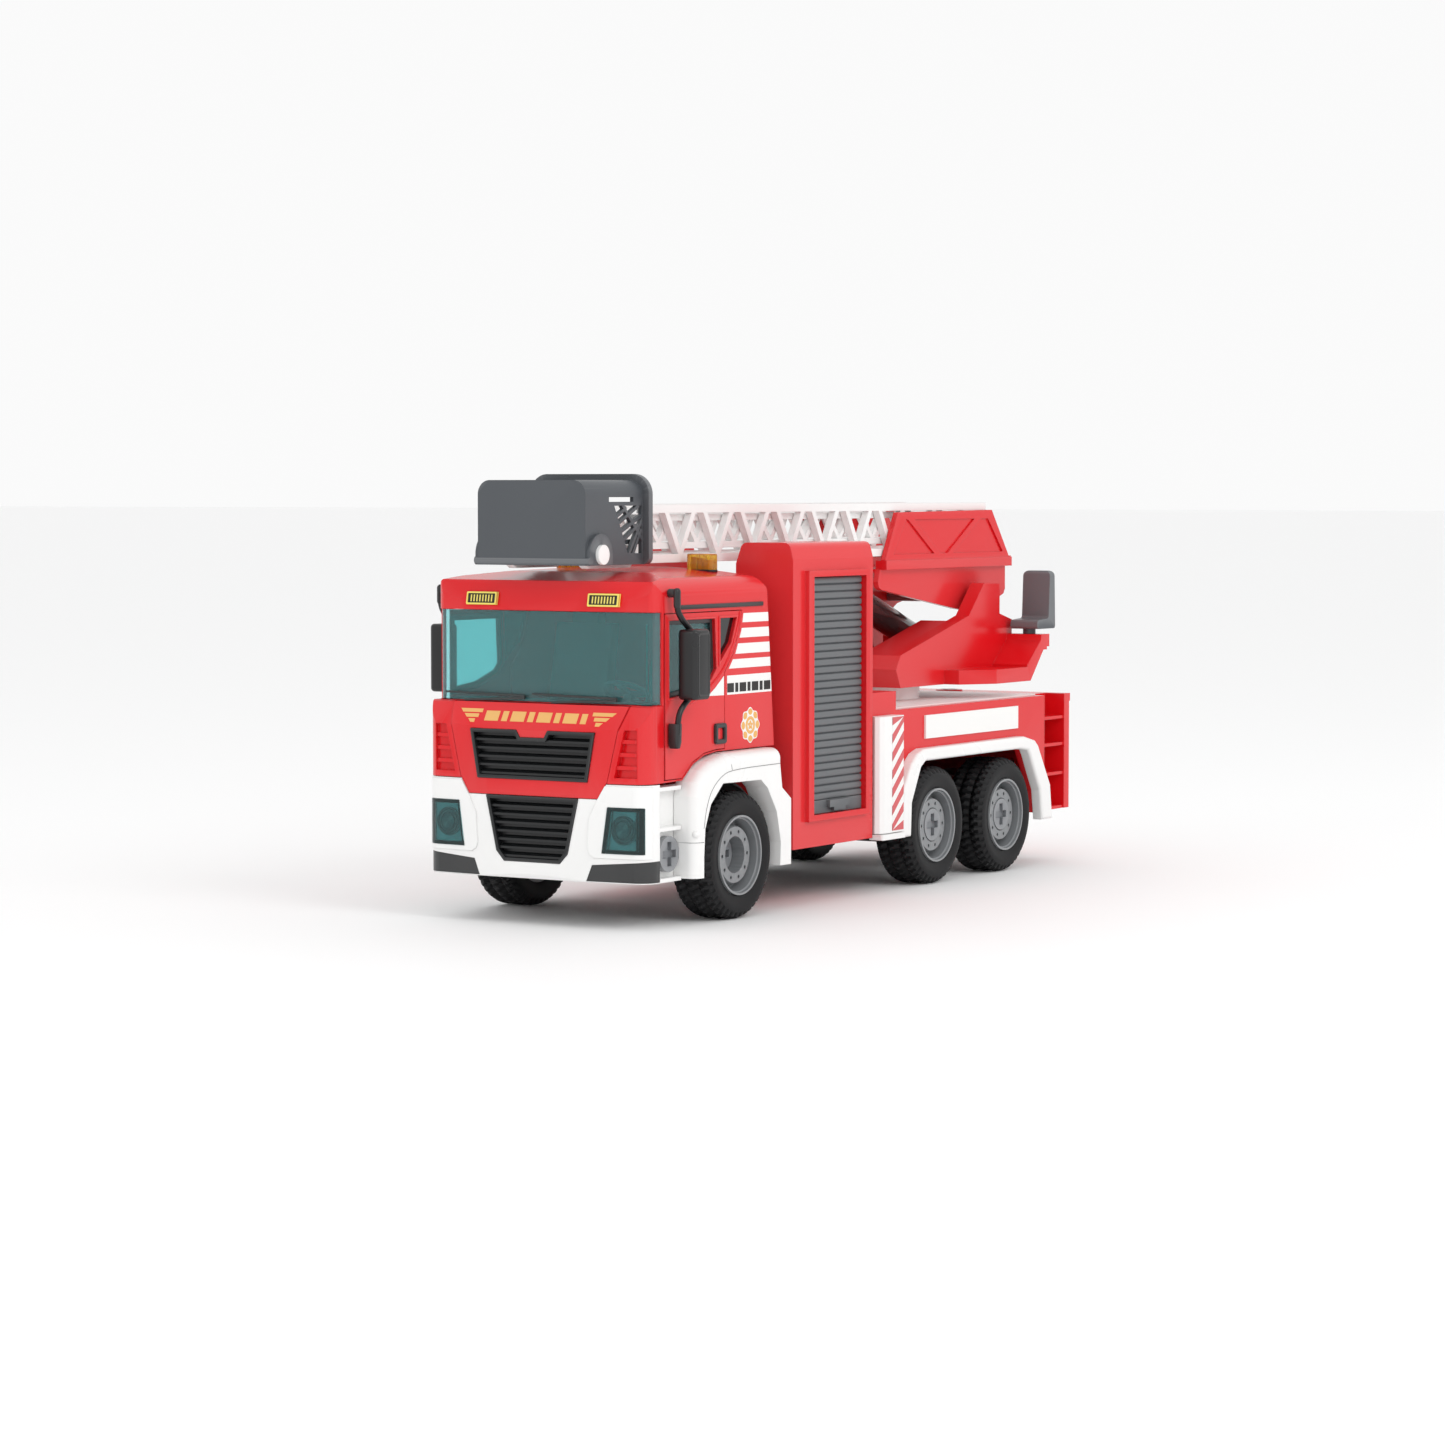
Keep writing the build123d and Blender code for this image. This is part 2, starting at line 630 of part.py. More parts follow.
def bumper_insert():
    """The black grille and the two black lips, moulded in one colour."""
    with BuildPart() as lips:
        lower_plan(FRONT_Y, Mode.ADD)
        block((-70, 70), (-205.0, -185.7), (20.9, 30.2), Mode.INTERSECT)
        middle = [(-28.0, 20.9), (28.0, 20.9), (30.8, 27.8), (30.8, 31.0), (-30.8, 31.0), (-30.8, 27.8)]
        prism_y(middle, -200.0, -180.0, mode=Mode.SUBTRACT)
        above = [(-30.8, 27.8), (-62.0, 30.2), (-62.0, 32.0), (-30.8, 32.0)]
        prism_y(above, -200.0, -180.0, mode=Mode.SUBTRACT)
        prism_y([(-x, z) for x, z in above], -200.0, -180.0, mode=Mode.SUBTRACT)
        hollow = [(-46.0, -194.6), (46.0, -194.6), (55.0, -188.0), (55.0, -180.0)]
        hollow += [(-55.0, -180.0), (-55.0, -188.0)]
        prism_z(hollow, 20.0, 31.0, mode=Mode.SUBTRACT)
    with BuildPart() as centre:
        grille(LOWER_GRILLE, -198.0, -193.6, 7)
    with BuildPart() as part:
        add(lips.part)
        add(centre.part)
    keep("bumper_insert", part)


def headlight_lenses():
    with BuildPart() as part:
        lower_plan(FRONT_Y - LENS_LIFT, Mode.ADD)
        block((-70, 70), (-205.0, -193.9), (33.2, 52.9), Mode.INTERSECT)
        middle = [(-38.8, 52.9), (38.8, 52.9), (36.0, 33.2), (-36.0, 33.2)]
        prism_y(middle, -200.0, -190.0, mode=Mode.SUBTRACT)
        for side in SIDES.values():
            inner = [(side * 40.2, 51.4), (side * 37.8, 34.7), (side * 52.6, 34.7), (side * 52.6, 51.4)]
            prism_y(inner, -196.0, -190.0, mode=Mode.SUBTRACT)
            block((side * 56.6, side * 70), (-200.0, -190.0), (30.0, 56.0), Mode.SUBTRACT)
    keep("headlight_lenses", part)


def headlight_lamps():
    with BuildPart() as part:
        for side in SIDES.values():
            disc_y(side * 45.6, 43.2, 6.2, -194.5, -193.92)
            disc_y(side * 45.6, 43.2, 4.9, -195.3, -194.5)
            disc_y(side * 45.6, 43.2, 3.1, -195.9, -195.3)
    keep("headlight_lamps", part)


# Fenders and wheel arches

FRONT_FENDER = [
    (-168.5, 21.1), (-168.5, 56.5), (-166.6, 62.9), (-161.5, 67.6), (-154.0, 70.9), (-140.0, 73.8),
    (-98.6, 73.8), (-98.6, 66.9), (-96.8, 56.0), (-89.1, 50.7), (-89.1, 21.3),
    (-98.5, 21.3), (-97.9, 31.7), (-101.5, 45.7), (-109.3, 56.7), (-115.0, 60.6), (-146.6, 61.0),
    (-156.6, 52.6), (-161.2, 42.4), (-162.2, 30.0), (-162.2, 21.1),
]
FENDER_ROUND = 4.6


def front_fenders():
    with BuildPart() as part:
        for side in SIDES.values():
            prism_x(FRONT_FENDER, side * 54.0, side * FENDER_OUT)
            outer = part.faces().sort_by(Axis.X)[-1 if side > 0 else 0]
            edges = outer.outer_wire().edges()
            top = edges.filter_by(lambda edge: edge.center().Z > 68.0 and edge.center().Y < -99.0)
            front = edges.filter_by(lambda edge: edge.center().Y < -162.5 and edge.center().Z > 22.0)
            fillet(top + front, radius=FENDER_ROUND)
    keep("front_fenders", part)


REAR_FENDER = [
    (12.7, 25.0), (14.5, 46.1), (23.1, 59.2), (28.9, 63.6), (35.8, 65.6), (138.6, 65.9), (149.5, 63.5),
    (152.8, 60.9), (166.2, 40.5), (168.6, 23.1),
]
REAR_ARCH = [
    (157.6, 23.1), (155.2, 38.2), (144.1, 56.4), (142.0, 59.0), (133.3, 60.0), (36.8, 59.8), (31.9, 56.8),
    (23.2, 40.8), (22.4, 25.0),
]


def rear_fenders():
    with BuildPart() as part:
        for side in SIDES.values():
            prism_x(REAR_FENDER + REAR_ARCH, side * (BODY_HALF + 0.05), side * FENDER_OUT)
            outer = part.faces().sort_by(Axis.X)[-1 if side > 0 else 0]
            fillet(outer.outer_wire().edges(), radius=1.6)
    keep("rear_fenders", part)


# Rear body: a tub with wheel arches, a step recess in each rear corner and a plinth behind the lockers.

WALL = 3.0
STEP_Y = (169.5, 191.5)
STEP_IN = 49.0
REAR_WALL = 197.0


def rear_body():
    arch = [point for point in reversed(REAR_ARCH) if point[1] > 25.5]
    side_wall = [(-10.6, 26.9), (22.5, 26.9), *arch, (157.2, 26.5)]
    side_wall += [(REAR_WALL, 26.5), (REAR_WALL, DECK_Z), (-10.6, DECK_Z)]
    with BuildPart() as part:
        for side in SIDES.values():
            prism_x(side_wall, side * (BODY_HALF - WALL), side * BODY_HALF)
        block((-BODY_HALF, BODY_HALF), (-10.6, REAR_WALL), (DECK_Z - WALL, DECK_Z))
        block((-BODY_HALF, BODY_HALF), (REAR_WALL - WALL, REAR_WALL), (26.5, DECK_Z))
        block((-BODY_HALF, BODY_HALF), (-10.6, -8.0), (50.2, DECK_Z))
        block((-BODY_HALF, BODY_HALF), (-10.6, 16.4), (DECK_Z, 93.8))
        block((-32.6, 32.6), (-82.8, -10.6), (50.2, 93.8))
        block((-30.0, 30.0), (-79.8, -13.0), (50.0, 90.8), Mode.SUBTRACT)
        for side in SIDES.values():
            recess = (side * (STEP_IN - 2.0), side * BODY_HALF)
            block(recess, (STEP_Y[0] - 2.0, REAR_WALL), (26.5, DECK_Z))
            block((side * STEP_IN, side * (BODY_HALF + 1)), STEP_Y, (20.0, 90.0), Mode.SUBTRACT)
            step_x = (side * (STEP_IN - 1), side * (BODY_HALF - 0.6))
            for step_z in (26.5, 43.8, 58.6, 72.2):
                block(step_x, (STEP_Y[0] - 1, STEP_Y[1] + 1), (step_z, step_z + 1.6))
            hole_y = (BEAM_Y[0] - MOVE_GAP, BEAM_Y[1] + MOVE_GAP)
            hole_z = (BEAM_Z[0] - MOVE_GAP, BEAM_Z[1] + MOVE_GAP)
            block((side * 56.0, side * 61.0), hole_y, hole_z, Mode.SUBTRACT)
        block((-BODY_HALF, BODY_HALF), (REAR_WALL, REAR_Y), (DECK_Z - 4.0, DECK_Z))
    keep("rear_body", part)


def deck():
    with BuildPart() as part:
        block((-56.0, 56.0), (17.0, 167.0), (DECK_Z, DECK_Z + 0.8))
    keep("deck", part)


def side_plates():
    with BuildPart() as part:
        for side in SIDES.values():
            block((side * (BODY_HALF + 0.02), side * 61.0), (44.0, 139.0), (69.9, 81.0))
    keep("side_plates", part)


def tail_lights():
    with BuildPart() as part:
        for side in SIDES.values():
            for row in range(3):
                z = 40.0 + row * 11.0
                lamp = [(side * 36.0, z), (side * 46.0, z), (side * 46.0, z + 9.0), (side * 36.0, z + 9.0)]
                prism_y(lamp, REAR_WALL + 0.02, REAR_Y, radius=1.5)
    keep("tail_lights", part)


def body_bolts():
    with BuildPart() as part:
        for side in SIDES.values():
            plus_bolt(side, -176.4, 32.2, WALL_X[1] + 0.02, WALL_X[1] + 0.04)
    keep("body_bolts", part)


# Tall lockers behind the cab, each with a rolling shutter


def cabinet(name, side):
    body = [(CABINET_IN, 26.8), (CABINET_OUT, 26.8), (CABINET_OUT, 157.0)]
    body += [(61.0, 164.5), (36.4, 164.5), (CABINET_IN, 155.0)]
    frame_y = (LOCKER_Y[0] - 4.6, LOCKER_Y[1] + 3.6)
    frame_z = (LOCKER_Z[0] - 2.8, LOCKER_Z[1] + 2.9)
    with BuildPart() as part:
        prism_y([(side * x, z) for x, z in body], -83.2, -11.0)
        block((side * CABINET_OUT, side * 65.2), frame_y, frame_z)
        block((side * 36.0, side * 66.0), LOCKER_Y, LOCKER_Z, Mode.SUBTRACT)
        rounded = part.edges().filter_by(Axis.Y).group_by(Axis.Z)[-1]
        fillet(rounded, radius=3.5)
    keep(name, part)


def shutter_curtain(name, side):
    """Slats joined edge to edge, from the lintel down to the bottom bar."""
    top = LOCKER_Z[1] - 0.1
    pitch = (top - BAR_TOP) / SLATS
    back = 61.2
    profile = [(back, BAR_TOP)]
    for step in range(SLATS):
        z = BAR_TOP + step * pitch
        profile += [(62.3, z), (62.9, z + 0.5), (62.5, z + pitch - 0.3)]
    profile += [(62.3, top), (back, top)]
    with BuildPart() as part:
        prism_y([(side * x, z) for x, z in profile], LOCKER_Y[0] + MOVE_GAP, LOCKER_Y[1] - MOVE_GAP)
    keep(name, part)


def shutter_bar(name, side):
    with BuildPart() as part:
        span = (LOCKER_Y[0] + MOVE_GAP, LOCKER_Y[1] - MOVE_GAP)
        block((side * 61.2, side * 62.8), span, (LOCKER_Z[0] + 0.2, BAR_TOP - 0.02))
        block((side * 62.8, side * 64.6), (-52.8, -35.0), (44.0, 47.3))
        block((side * 62.8, side * 64.6), (-49.0, -38.6), (42.4, 44.0))
    keep(name, part)


# Outriggers: a beam that slides sideways, with a jack in its post


def outrigger(name, side):
    with BuildPart() as part:
        inner, outer = LEG_X
        front, rear = LEG_Y
        post = [(inner, front + 1.5), (inner, rear), (outer, rear)]
        post += [(outer, front + 3.5), (outer - 1.2, front + 1.0), (outer - 3.3, front)]
        prism_z([(side * x, y) for x, y in post], POST_Z[0], POST_Z[1])
        block((side * BEAM_IN, side * (inner + 0.5)), BEAM_Y, BEAM_Z)
        disc_z(side * JACK_X, JACK_Y, JACK_R + RUNNING, POST_Z[0] - 1, 72.0, Mode.SUBTRACT)
    keep(name, part)


def outrigger_foot(name, side):
    with BuildPart() as part:
        block((side * LEG_X[0], side * 68.4), (-10.4, 11.9), (25.6, 28.2))
        fillet(part.edges().filter_by(Axis.Z), radius=1.6)
        disc_z(side * JACK_X, JACK_Y, JACK_R, 28.1, 70.0)
    keep(name, part)


# Turntable with its towers, the operator's platform and seat


def slew_pedestal():
    with BuildPart() as part:
        disc_z(0, SLEW_Y, PEDESTAL_R, DECK_Z + 0.82, TURRET_Z - MOVE_GAP)
    keep("slew_pedestal", part)


TOWER = [
    (62.0, TURRET_Z), (57.5, 101.5), (61.8, 108.2), (131.7, 125.6), (147.5, 141.4), (164.4, 141.0),
    (164.4, 125.8), (177.7, 122.5), (177.7, 109.1), (174.6, 107.6), (160.6, TURRET_Z),
]
TURRET_INNER = [
    (62.0, TURRET_Z), (57.5, 101.5), (61.8, 108.2), (122.0, 123.2), (132.0, 99.0), (132.0, TURRET_Z),
]
SCOOP = [
    (157.0, TURRET_Z), (160.6, TURRET_Z), (174.6, 107.6), (178.4, 107.6), (178.4, 109.1), (181.0, 109.1),
    (181.0, 115.4), (172.4, 115.4), (171.6, 112.4), (157.0, 100.6),
]
PIN_END = TURRET_HALF - 1.2


def turntable_frame():
    with BuildPart() as part:
        block((-TURRET_HALF, TURRET_HALF), (62.0, 160.6), (TURRET_Z, 99.5))
        for side in SIDES.values():
            prism_x(TOWER, side * TOWER_IN, side * TURRET_HALF)
            prism_x(TURRET_INNER, side * 15.0, side * TOWER_IN)
            block((side * 10.4, side * 13.4), (134.0, 146.0), (99.4, 119.0))
            disc_x(RAM_BASE_Y, RAM_BASE_Z, RAM_PIN_R + RUNNING, side * 10.0, side * 14.0, Mode.SUBTRACT)
            disc_x(PIVOT_Y, PIVOT_Z, PIVOT_R, side * TOWER_IN, side * PIN_END, Mode.SUBTRACT)
        platform = [(TURRET_HALF, 106.0), (45.3, 106.0), (56.7, 124.0), (56.7, 158.0), (TURRET_HALF, 158.0)]
        prism_z([(x - 0.5, y) if x == TURRET_HALF else (x, y) for x, y in platform], TURRET_Z, 99.5)
        prism_x(SCOOP, TURRET_HALF - 1.0, 56.7)
    keep("turntable_frame", part)


SEAT_X = (40.0, 55.2)
SEAT_SIDE = [(170.6, 118.0), (170.6, 122.4), (183.0, 123.2), (184.4, 147.2), (189.4, 147.2), (190.4, 118.0)]


def operator_seat():
    """A cushion and back in one bent piece with rounded corners, on a short post."""
    middle = (SEAT_X[0] + SEAT_X[1]) / 2
    with BuildPart() as part:
        prism_x(SEAT_SIDE, SEAT_X[0], SEAT_X[1], radius=1.6)
        front = [(SEAT_X[0], 110.0), (SEAT_X[1], 110.0), (SEAT_X[1], 147.2), (SEAT_X[0], 147.2)]
        prism_y(front, 165.0, 195.0, radius=2.8, mode=Mode.INTERSECT)
        disc_z(middle, 176.5, 3.2, 115.45, 118.4)
    keep("operator_seat", part)


# Boom: side plates, floor and raised panels that hold the ladder

BOOM_PLATE = [
    (62.0, 149.6), (192.2, 149.6), (192.2, 137.6), (190.6, 135.2), (187.0, 134.0), (165.0, 130.0),
    (160.0, 127.4), (152.0, 127.4), (139.0, 128.7), (64.4, 139.6), (61.2, 140.8), (60.2, 143.6),
]
BOOM_PLATE_X = (22.6, 25.4)
PANEL_X = (25.4, 28.0)
BOOM_PANEL = [
    (63.4, 149.8), (62.8, 154.2), (75.2, 177.2), (172.6, 178.0), (191.2, 154.6), (193.5, 154.6),
    (193.5, 149.8),
]
BOOM_RECESSES = [
    [(71.4, 156.8), (83.4, 173.6), (85.4, 173.6), (112.0, 156.8)],
    [(92.0, 173.6), (154.0, 173.6), (125.6, 156.8), (118.6, 156.8)],
    [(132.0, 156.8), (160.6, 173.6), (168.6, 173.6), (184.6, 156.8)],
]


def boom_frame():
    with BuildPart() as part:
        for side in SIDES.values():
            prism_x(BOOM_PLATE, side * BOOM_PLATE_X[0], side * BOOM_PLATE_X[1])
            prism_x(BOOM_PANEL, side * PANEL_X[0], side * PANEL_X[1])
            block((side * BOOM_PLATE_X[0], side * 28.6), (62.9, 193.5), (149.4, 154.0))
            for recess in BOOM_RECESSES:
                prism_x(recess, side * (PANEL_X[1] - 0.8), side * 29.0, mode=Mode.SUBTRACT)
            hole = PIVOT_R + RUNNING
            disc_x(PIVOT_Y, PIVOT_Z, hole, side * 20.0, side * 29.0, Mode.SUBTRACT)
            lug = [(-4.0, RAM_TIP_Z - 3.4), (4.0, RAM_TIP_Z - 3.4), (7.0, 149.6), (-7.0, 149.6)]
            prism_x([(RAM_TIP_Y + y, z) for y, z in lug], side * 6.6, side * 9.0)
        block((-BOOM_PLATE_X[1], BOOM_PLATE_X[1]), (62.0, 192.2), (148.0, 149.8))
        disc_x(RAM_TIP_Y, RAM_TIP_Z, RAM_PIN_R, -9.0, 9.0)
    keep("boom_frame", part)


def boom_pin():
    with BuildPart() as part:
        disc_x(PIVOT_Y, PIVOT_Z, PIVOT_R, -PIN_END, PIN_END)
    keep("boom_pin", part)


# Ram: barrel on the turntable, rod to the boom


def along_ram(distance, radius, start, mode=Mode.ADD):
    """A cylinder on the ram's axis, from a start distance to a distance from the lower pin."""
    tilt = atan2(RAM_TIP_Z - RAM_BASE_Z, RAM_TIP_Y - RAM_BASE_Y)
    direction = (0, cos(tilt), sin(tilt))
    origin = (0, RAM_BASE_Y + start * direction[1], RAM_BASE_Z + start * direction[2])
    with BuildSketch(Plane(origin, x_dir=(1, 0, 0), z_dir=direction)) as face:
        Circle(radius)
    extrude(face.sketch, amount=distance - start, mode=mode)


RAM_LENGTH = hypot(RAM_TIP_Y - RAM_BASE_Y, RAM_TIP_Z - RAM_BASE_Z)
RAM_EYE_HALF = 5.6
ROD_EYE_R = 5.8
ROD_EYE_HOLE = 4.3


def ram_barrel():
    with BuildPart() as part:
        disc_x(RAM_BASE_Y, RAM_BASE_Z, 5.0, -RAM_EYE_HALF, RAM_EYE_HALF)
        along_ram(RAM_LENGTH - 9.0, RAM_R, 4.0)
        along_ram(RAM_LENGTH, RAM_ROD_R + RUNNING, 8.0, Mode.SUBTRACT)
        disc_x(RAM_BASE_Y, RAM_BASE_Z, RAM_PIN_R, -13.4, 13.4)
    keep("ram_barrel", part)


def ram_rod():
    with BuildPart() as part:
        along_ram(RAM_LENGTH - 4.6, RAM_ROD_R, 9.0)
        disc_x(RAM_TIP_Y, RAM_TIP_Z, ROD_EYE_R, -3.4, 3.4)
        disc_x(RAM_TIP_Y, RAM_TIP_Z, ROD_EYE_HOLE, -4.0, 4.0, Mode.SUBTRACT)
    keep("ram_rod", part)


# Ladder: two trusses, one inside the other


def truss(half_out, half_in, y_span, z_span, rail, first_apex, spread, brace):
    """Two side frames with V braces, joined by rungs at the bottom."""
    low, high = z_span
    for side in SIDES.values():
        xs = (side * half_in, side * half_out)
        block(xs, y_span, (low, low + rail))
        block(xs, y_span, (high - rail, high))
        apex = first_apex
        while apex < y_span[1] - spread - 2:
            for lean in (-1, 1):
                top = apex + lean * spread
                foot_z = low + rail - 0.4
                head_z = high - rail + 0.4
                leg = [(apex - brace / 2, foot_z), (apex + brace / 2, foot_z)]
                leg += [(top + brace / 2, head_z), (top - brace / 2, head_z)]
                prism_x(leg, xs[0], xs[1])
            apex += BRACE_PITCH
    rung_y = y_span[0] + 6.0
    while rung_y < y_span[1] - 3:
        disc_x(rung_y, low + rail / 2, 1.3, -half_in - 0.5, half_in + 0.5)
        rung_y += BRACE_PITCH / 2


def ladder_middle():
    with BuildPart() as part:
        truss(24.8, 21.4, (LADDER_FRONT, 172.0), (156.0, 181.7), 3.8, -116.8, 11.3, 3.6)
    keep("ladder_middle", part)


def ladder_fly():
    with BuildPart() as part:
        truss(21.0, 17.8, (LADDER_FRONT, 120.0), (162.0, 177.4), 3.0, -129.0, 8.6, 3.2)
        for side in SIDES.values():
            arm = [
                (BASKET_PIN_Y - 3.4, 158.4), (BASKET_PIN_Y - 3.4, 162.0), (-190.0, 163.4), (-187.0, 164.0),
                (-144.0, 164.0), (-144.0, 162.0), (-152.0, 154.2), (-184.0, 154.2),
            ]
            prism_x(arm, side * 17.0, side * 21.0)
            disc_x(BASKET_PIN_Y, BASKET_PIN_Z, PIN_SHANK_R, side * 17.0, side * 22.0, Mode.SUBTRACT)
    keep("ladder_fly", part)


def basket_pins():
    """White pivot pins with broad heads, held in the ladder's two arms."""
    with BuildPart() as part:
        for side in SIDES.values():
            disc_x(BASKET_PIN_Y, BASKET_PIN_Z, PIN_SHANK_R, side * 17.0, side * 25.6)
            disc_x(BASKET_PIN_Y, BASKET_PIN_Z, PIN_HEAD_R, side * 25.6, side * 31.3)
    keep("basket_pins", part)


# Basket

BASKET_HALF = 28.0
BASKET_TOP = 192.4
BASKET_LOW = 155.8
RIM_HALF = 31.3
RIM_TOP = 195.1
PIN_HEAD_R = 4.3
PIN_SHANK_R = 2.6
BOSS_R = 9.0
BOSS_OUT = 29.8
LATTICE = [(-175.0, 181.3), (-153.4, 181.3), (-153.4, 160.6), (-164.4, 160.8)]
LATTICE_BARS = [
    ((-168.8, 182.0), (-152.6, 166.2)),
    ((-174.0, 176.2), (-165.4, 180.4)),
    ((-172.8, 173.2), (-155.4, 181.4)),
    ((-171.4, 169.4), (-152.8, 177.2)),
    ((-168.6, 166.0), (-156.0, 172.8)),
    ((-163.4, 160.2), (-152.8, 175.4)),
    ((-160.4, 160.0), (-153.6, 171.0)),
]
SLOT = [(-179.2, 183.0), (-179.2, 185.0), (-160.0, 185.0), (-160.0, 183.0)]


def lattice_bars(side):
    """The slanted bars that cross the window in the basket's side."""
    bar = 1.5
    with BuildPart() as part:
        for start, end in LATTICE_BARS:
            run = Vector(*end) - Vector(*start)
            across = Vector(-run.Y, run.X).normalized() * (bar / 2)
            first, last = Vector(*start), Vector(*end)
            corners = [first + across, last + across, last - across, first - across]
            prism_x([(corner.X, corner.Y) for corner in corners], side * 26.2, side * 28.0)
    return part.part


def basket_rim():
    """The thick frame around the basket's open rear end."""
    with BuildPart() as part:
        block((-RIM_HALF, RIM_HALF), (BASKET_REAR - 3.2, BASKET_REAR), (BASKET_LOW, RIM_TOP))
        fillet(part.edges().filter_by(Axis.Y).group_by(Axis.Z)[-1], radius=9.0)
        fillet(part.edges().filter_by(Axis.Y).group_by(Axis.Z)[0], radius=3.0)
    return part.part


def basket():
    wall = 1.8
    shoulder = 6.2
    inner = BASKET_HALF - wall
    floor_z = 166.6
    top = BASKET_TOP
    section = [(-BASKET_HALF, BASKET_LOW), (-BASKET_HALF, top)]
    section += [(BASKET_HALF, top), (BASKET_HALF, BASKET_LOW)]
    lattices = [lattice_bars(side) for side in SIDES.values()]
    frame = basket_rim()
    with BuildPart() as part:
        prism_y(section, BASKET_FRONT, BASKET_REAR)
        shoulders = part.edges().filter_by(Axis.Y).group_by(Axis.Z)[-1]
        fillet(shoulders, radius=shoulder)
        add(frame)
        cave = [(-inner, floor_z), (-inner, top - 6.5), (1.8 - inner, top - 3.4), (5.0 - inner, top - 1.8)]
        cave += [(-x, z) for x, z in reversed(cave)]
        prism_y(cave, BASKET_FRONT + wall, BASKET_REAR + 1, mode=Mode.SUBTRACT)
        block((-19.0, 19.0), (BASKET_FRONT + wall, BASKET_REAR - 3.2), (180.0, top + 1), Mode.SUBTRACT)
        length = (BASKET_FRONT + wall, BASKET_REAR + 1)
        block((-inner, inner), length, (BASKET_LOW - 1, 164.6), Mode.SUBTRACT)
        for side, bars in zip(SIDES.values(), lattices):
            prism_x(SLOT, side * 20.0, side * 29.0, mode=Mode.SUBTRACT)
            prism_x(LATTICE, side * 25.0, side * 29.0, mode=Mode.SUBTRACT)
            add(bars)
            disc_x(BASKET_PIN_Y, BASKET_PIN_Z, BOSS_R, side * inner, side * BOSS_OUT)
            boss_foot = (BASKET_PIN_Y - BOSS_R, BASKET_PIN_Y + BOSS_R)
            block((side * inner, side * BOSS_OUT), boss_foot, (BASKET_LOW, BASKET_PIN_Z))
            block((side * inner, side * 33.0), (-200.0, -175.0), (140.0, BASKET_LOW), Mode.SUBTRACT)
        disc_x(BASKET_FRONT + 1.5, BASKET_LOW + 1.9, 1.9, -29.9, 29.9)
        for side in SIDES.values():
            head_hole = PIN_HEAD_R + RUNNING
            disc_x(BASKET_PIN_Y, BASKET_PIN_Z, head_hole, side * 25.0, side * 32.0, Mode.SUBTRACT)
    keep("basket", part)


def main():
    wheels()
    wheel_bolts()
    chassis_frame()
    lights = marker_lights()
    beacons = roof_beacons()
    cab_shell(lights, beacons)
    front_panel()
    upper_grille()
    windscreen()
    wipers()
    cab_interior()
    front_bumper()
    bumper_insert()
    headlight_lenses()
    headlight_lamps()
    front_fenders()
    rear_fenders()
    rear_body()
    deck()
    side_plates()
    tail_lights()
    body_bolts()
    slew_pedestal()
    turntable_frame()
    operator_seat()
    boom_frame()
    boom_pin()
    ram_barrel()
    ram_rod()
    ladder_middle()
    ladder_fly()
    basket_pins()
    basket()
    for name, side in SIDES.items():
        door(f"door_{name}", side)
        door_glass(f"door_glass_{name}", side)
        door_trim(f"door_trim_{name}", side)
        cabinet(f"cabinet_{name}", side)
        shutter_curtain(f"shutter_curtain_{name}", side)
        shutter_bar(f"shutter_bar_{name}", side)
        outrigger(f"outrigger_{name}", side)
        outrigger_foot(f"outrigger_foot_{name}", side)


main()
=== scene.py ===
import bpy
import bmesh
import math
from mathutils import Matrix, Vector


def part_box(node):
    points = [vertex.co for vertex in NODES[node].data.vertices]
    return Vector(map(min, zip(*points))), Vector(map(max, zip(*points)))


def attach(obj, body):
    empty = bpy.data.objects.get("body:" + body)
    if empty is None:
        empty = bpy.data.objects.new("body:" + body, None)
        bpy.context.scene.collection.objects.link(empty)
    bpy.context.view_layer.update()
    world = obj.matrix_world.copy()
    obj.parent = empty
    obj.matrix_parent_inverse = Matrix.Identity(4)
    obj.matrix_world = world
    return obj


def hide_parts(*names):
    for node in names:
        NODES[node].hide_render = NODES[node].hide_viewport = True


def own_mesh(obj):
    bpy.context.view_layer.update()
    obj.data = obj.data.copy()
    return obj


# Toy fire engine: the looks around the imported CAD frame. Metres, +Z up, the front faces -Y.

MM = 0.001
SIDES = {"left": 1, "right": -1}
AXLES = ("front", "middle", "rear")

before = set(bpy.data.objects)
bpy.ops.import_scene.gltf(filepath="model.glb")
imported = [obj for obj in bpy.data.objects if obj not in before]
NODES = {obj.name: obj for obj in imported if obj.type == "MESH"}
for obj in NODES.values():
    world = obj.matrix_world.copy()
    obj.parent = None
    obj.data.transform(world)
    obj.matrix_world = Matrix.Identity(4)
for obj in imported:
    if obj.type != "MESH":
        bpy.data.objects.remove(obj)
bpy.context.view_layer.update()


# Materials


def link(tree, a, a_name, b, b_name):
    tree.links.new(a.outputs[a_name], b.inputs[b_name])


BROAD_GRAIN = 22.0
FINE_GRAIN = 1040.0


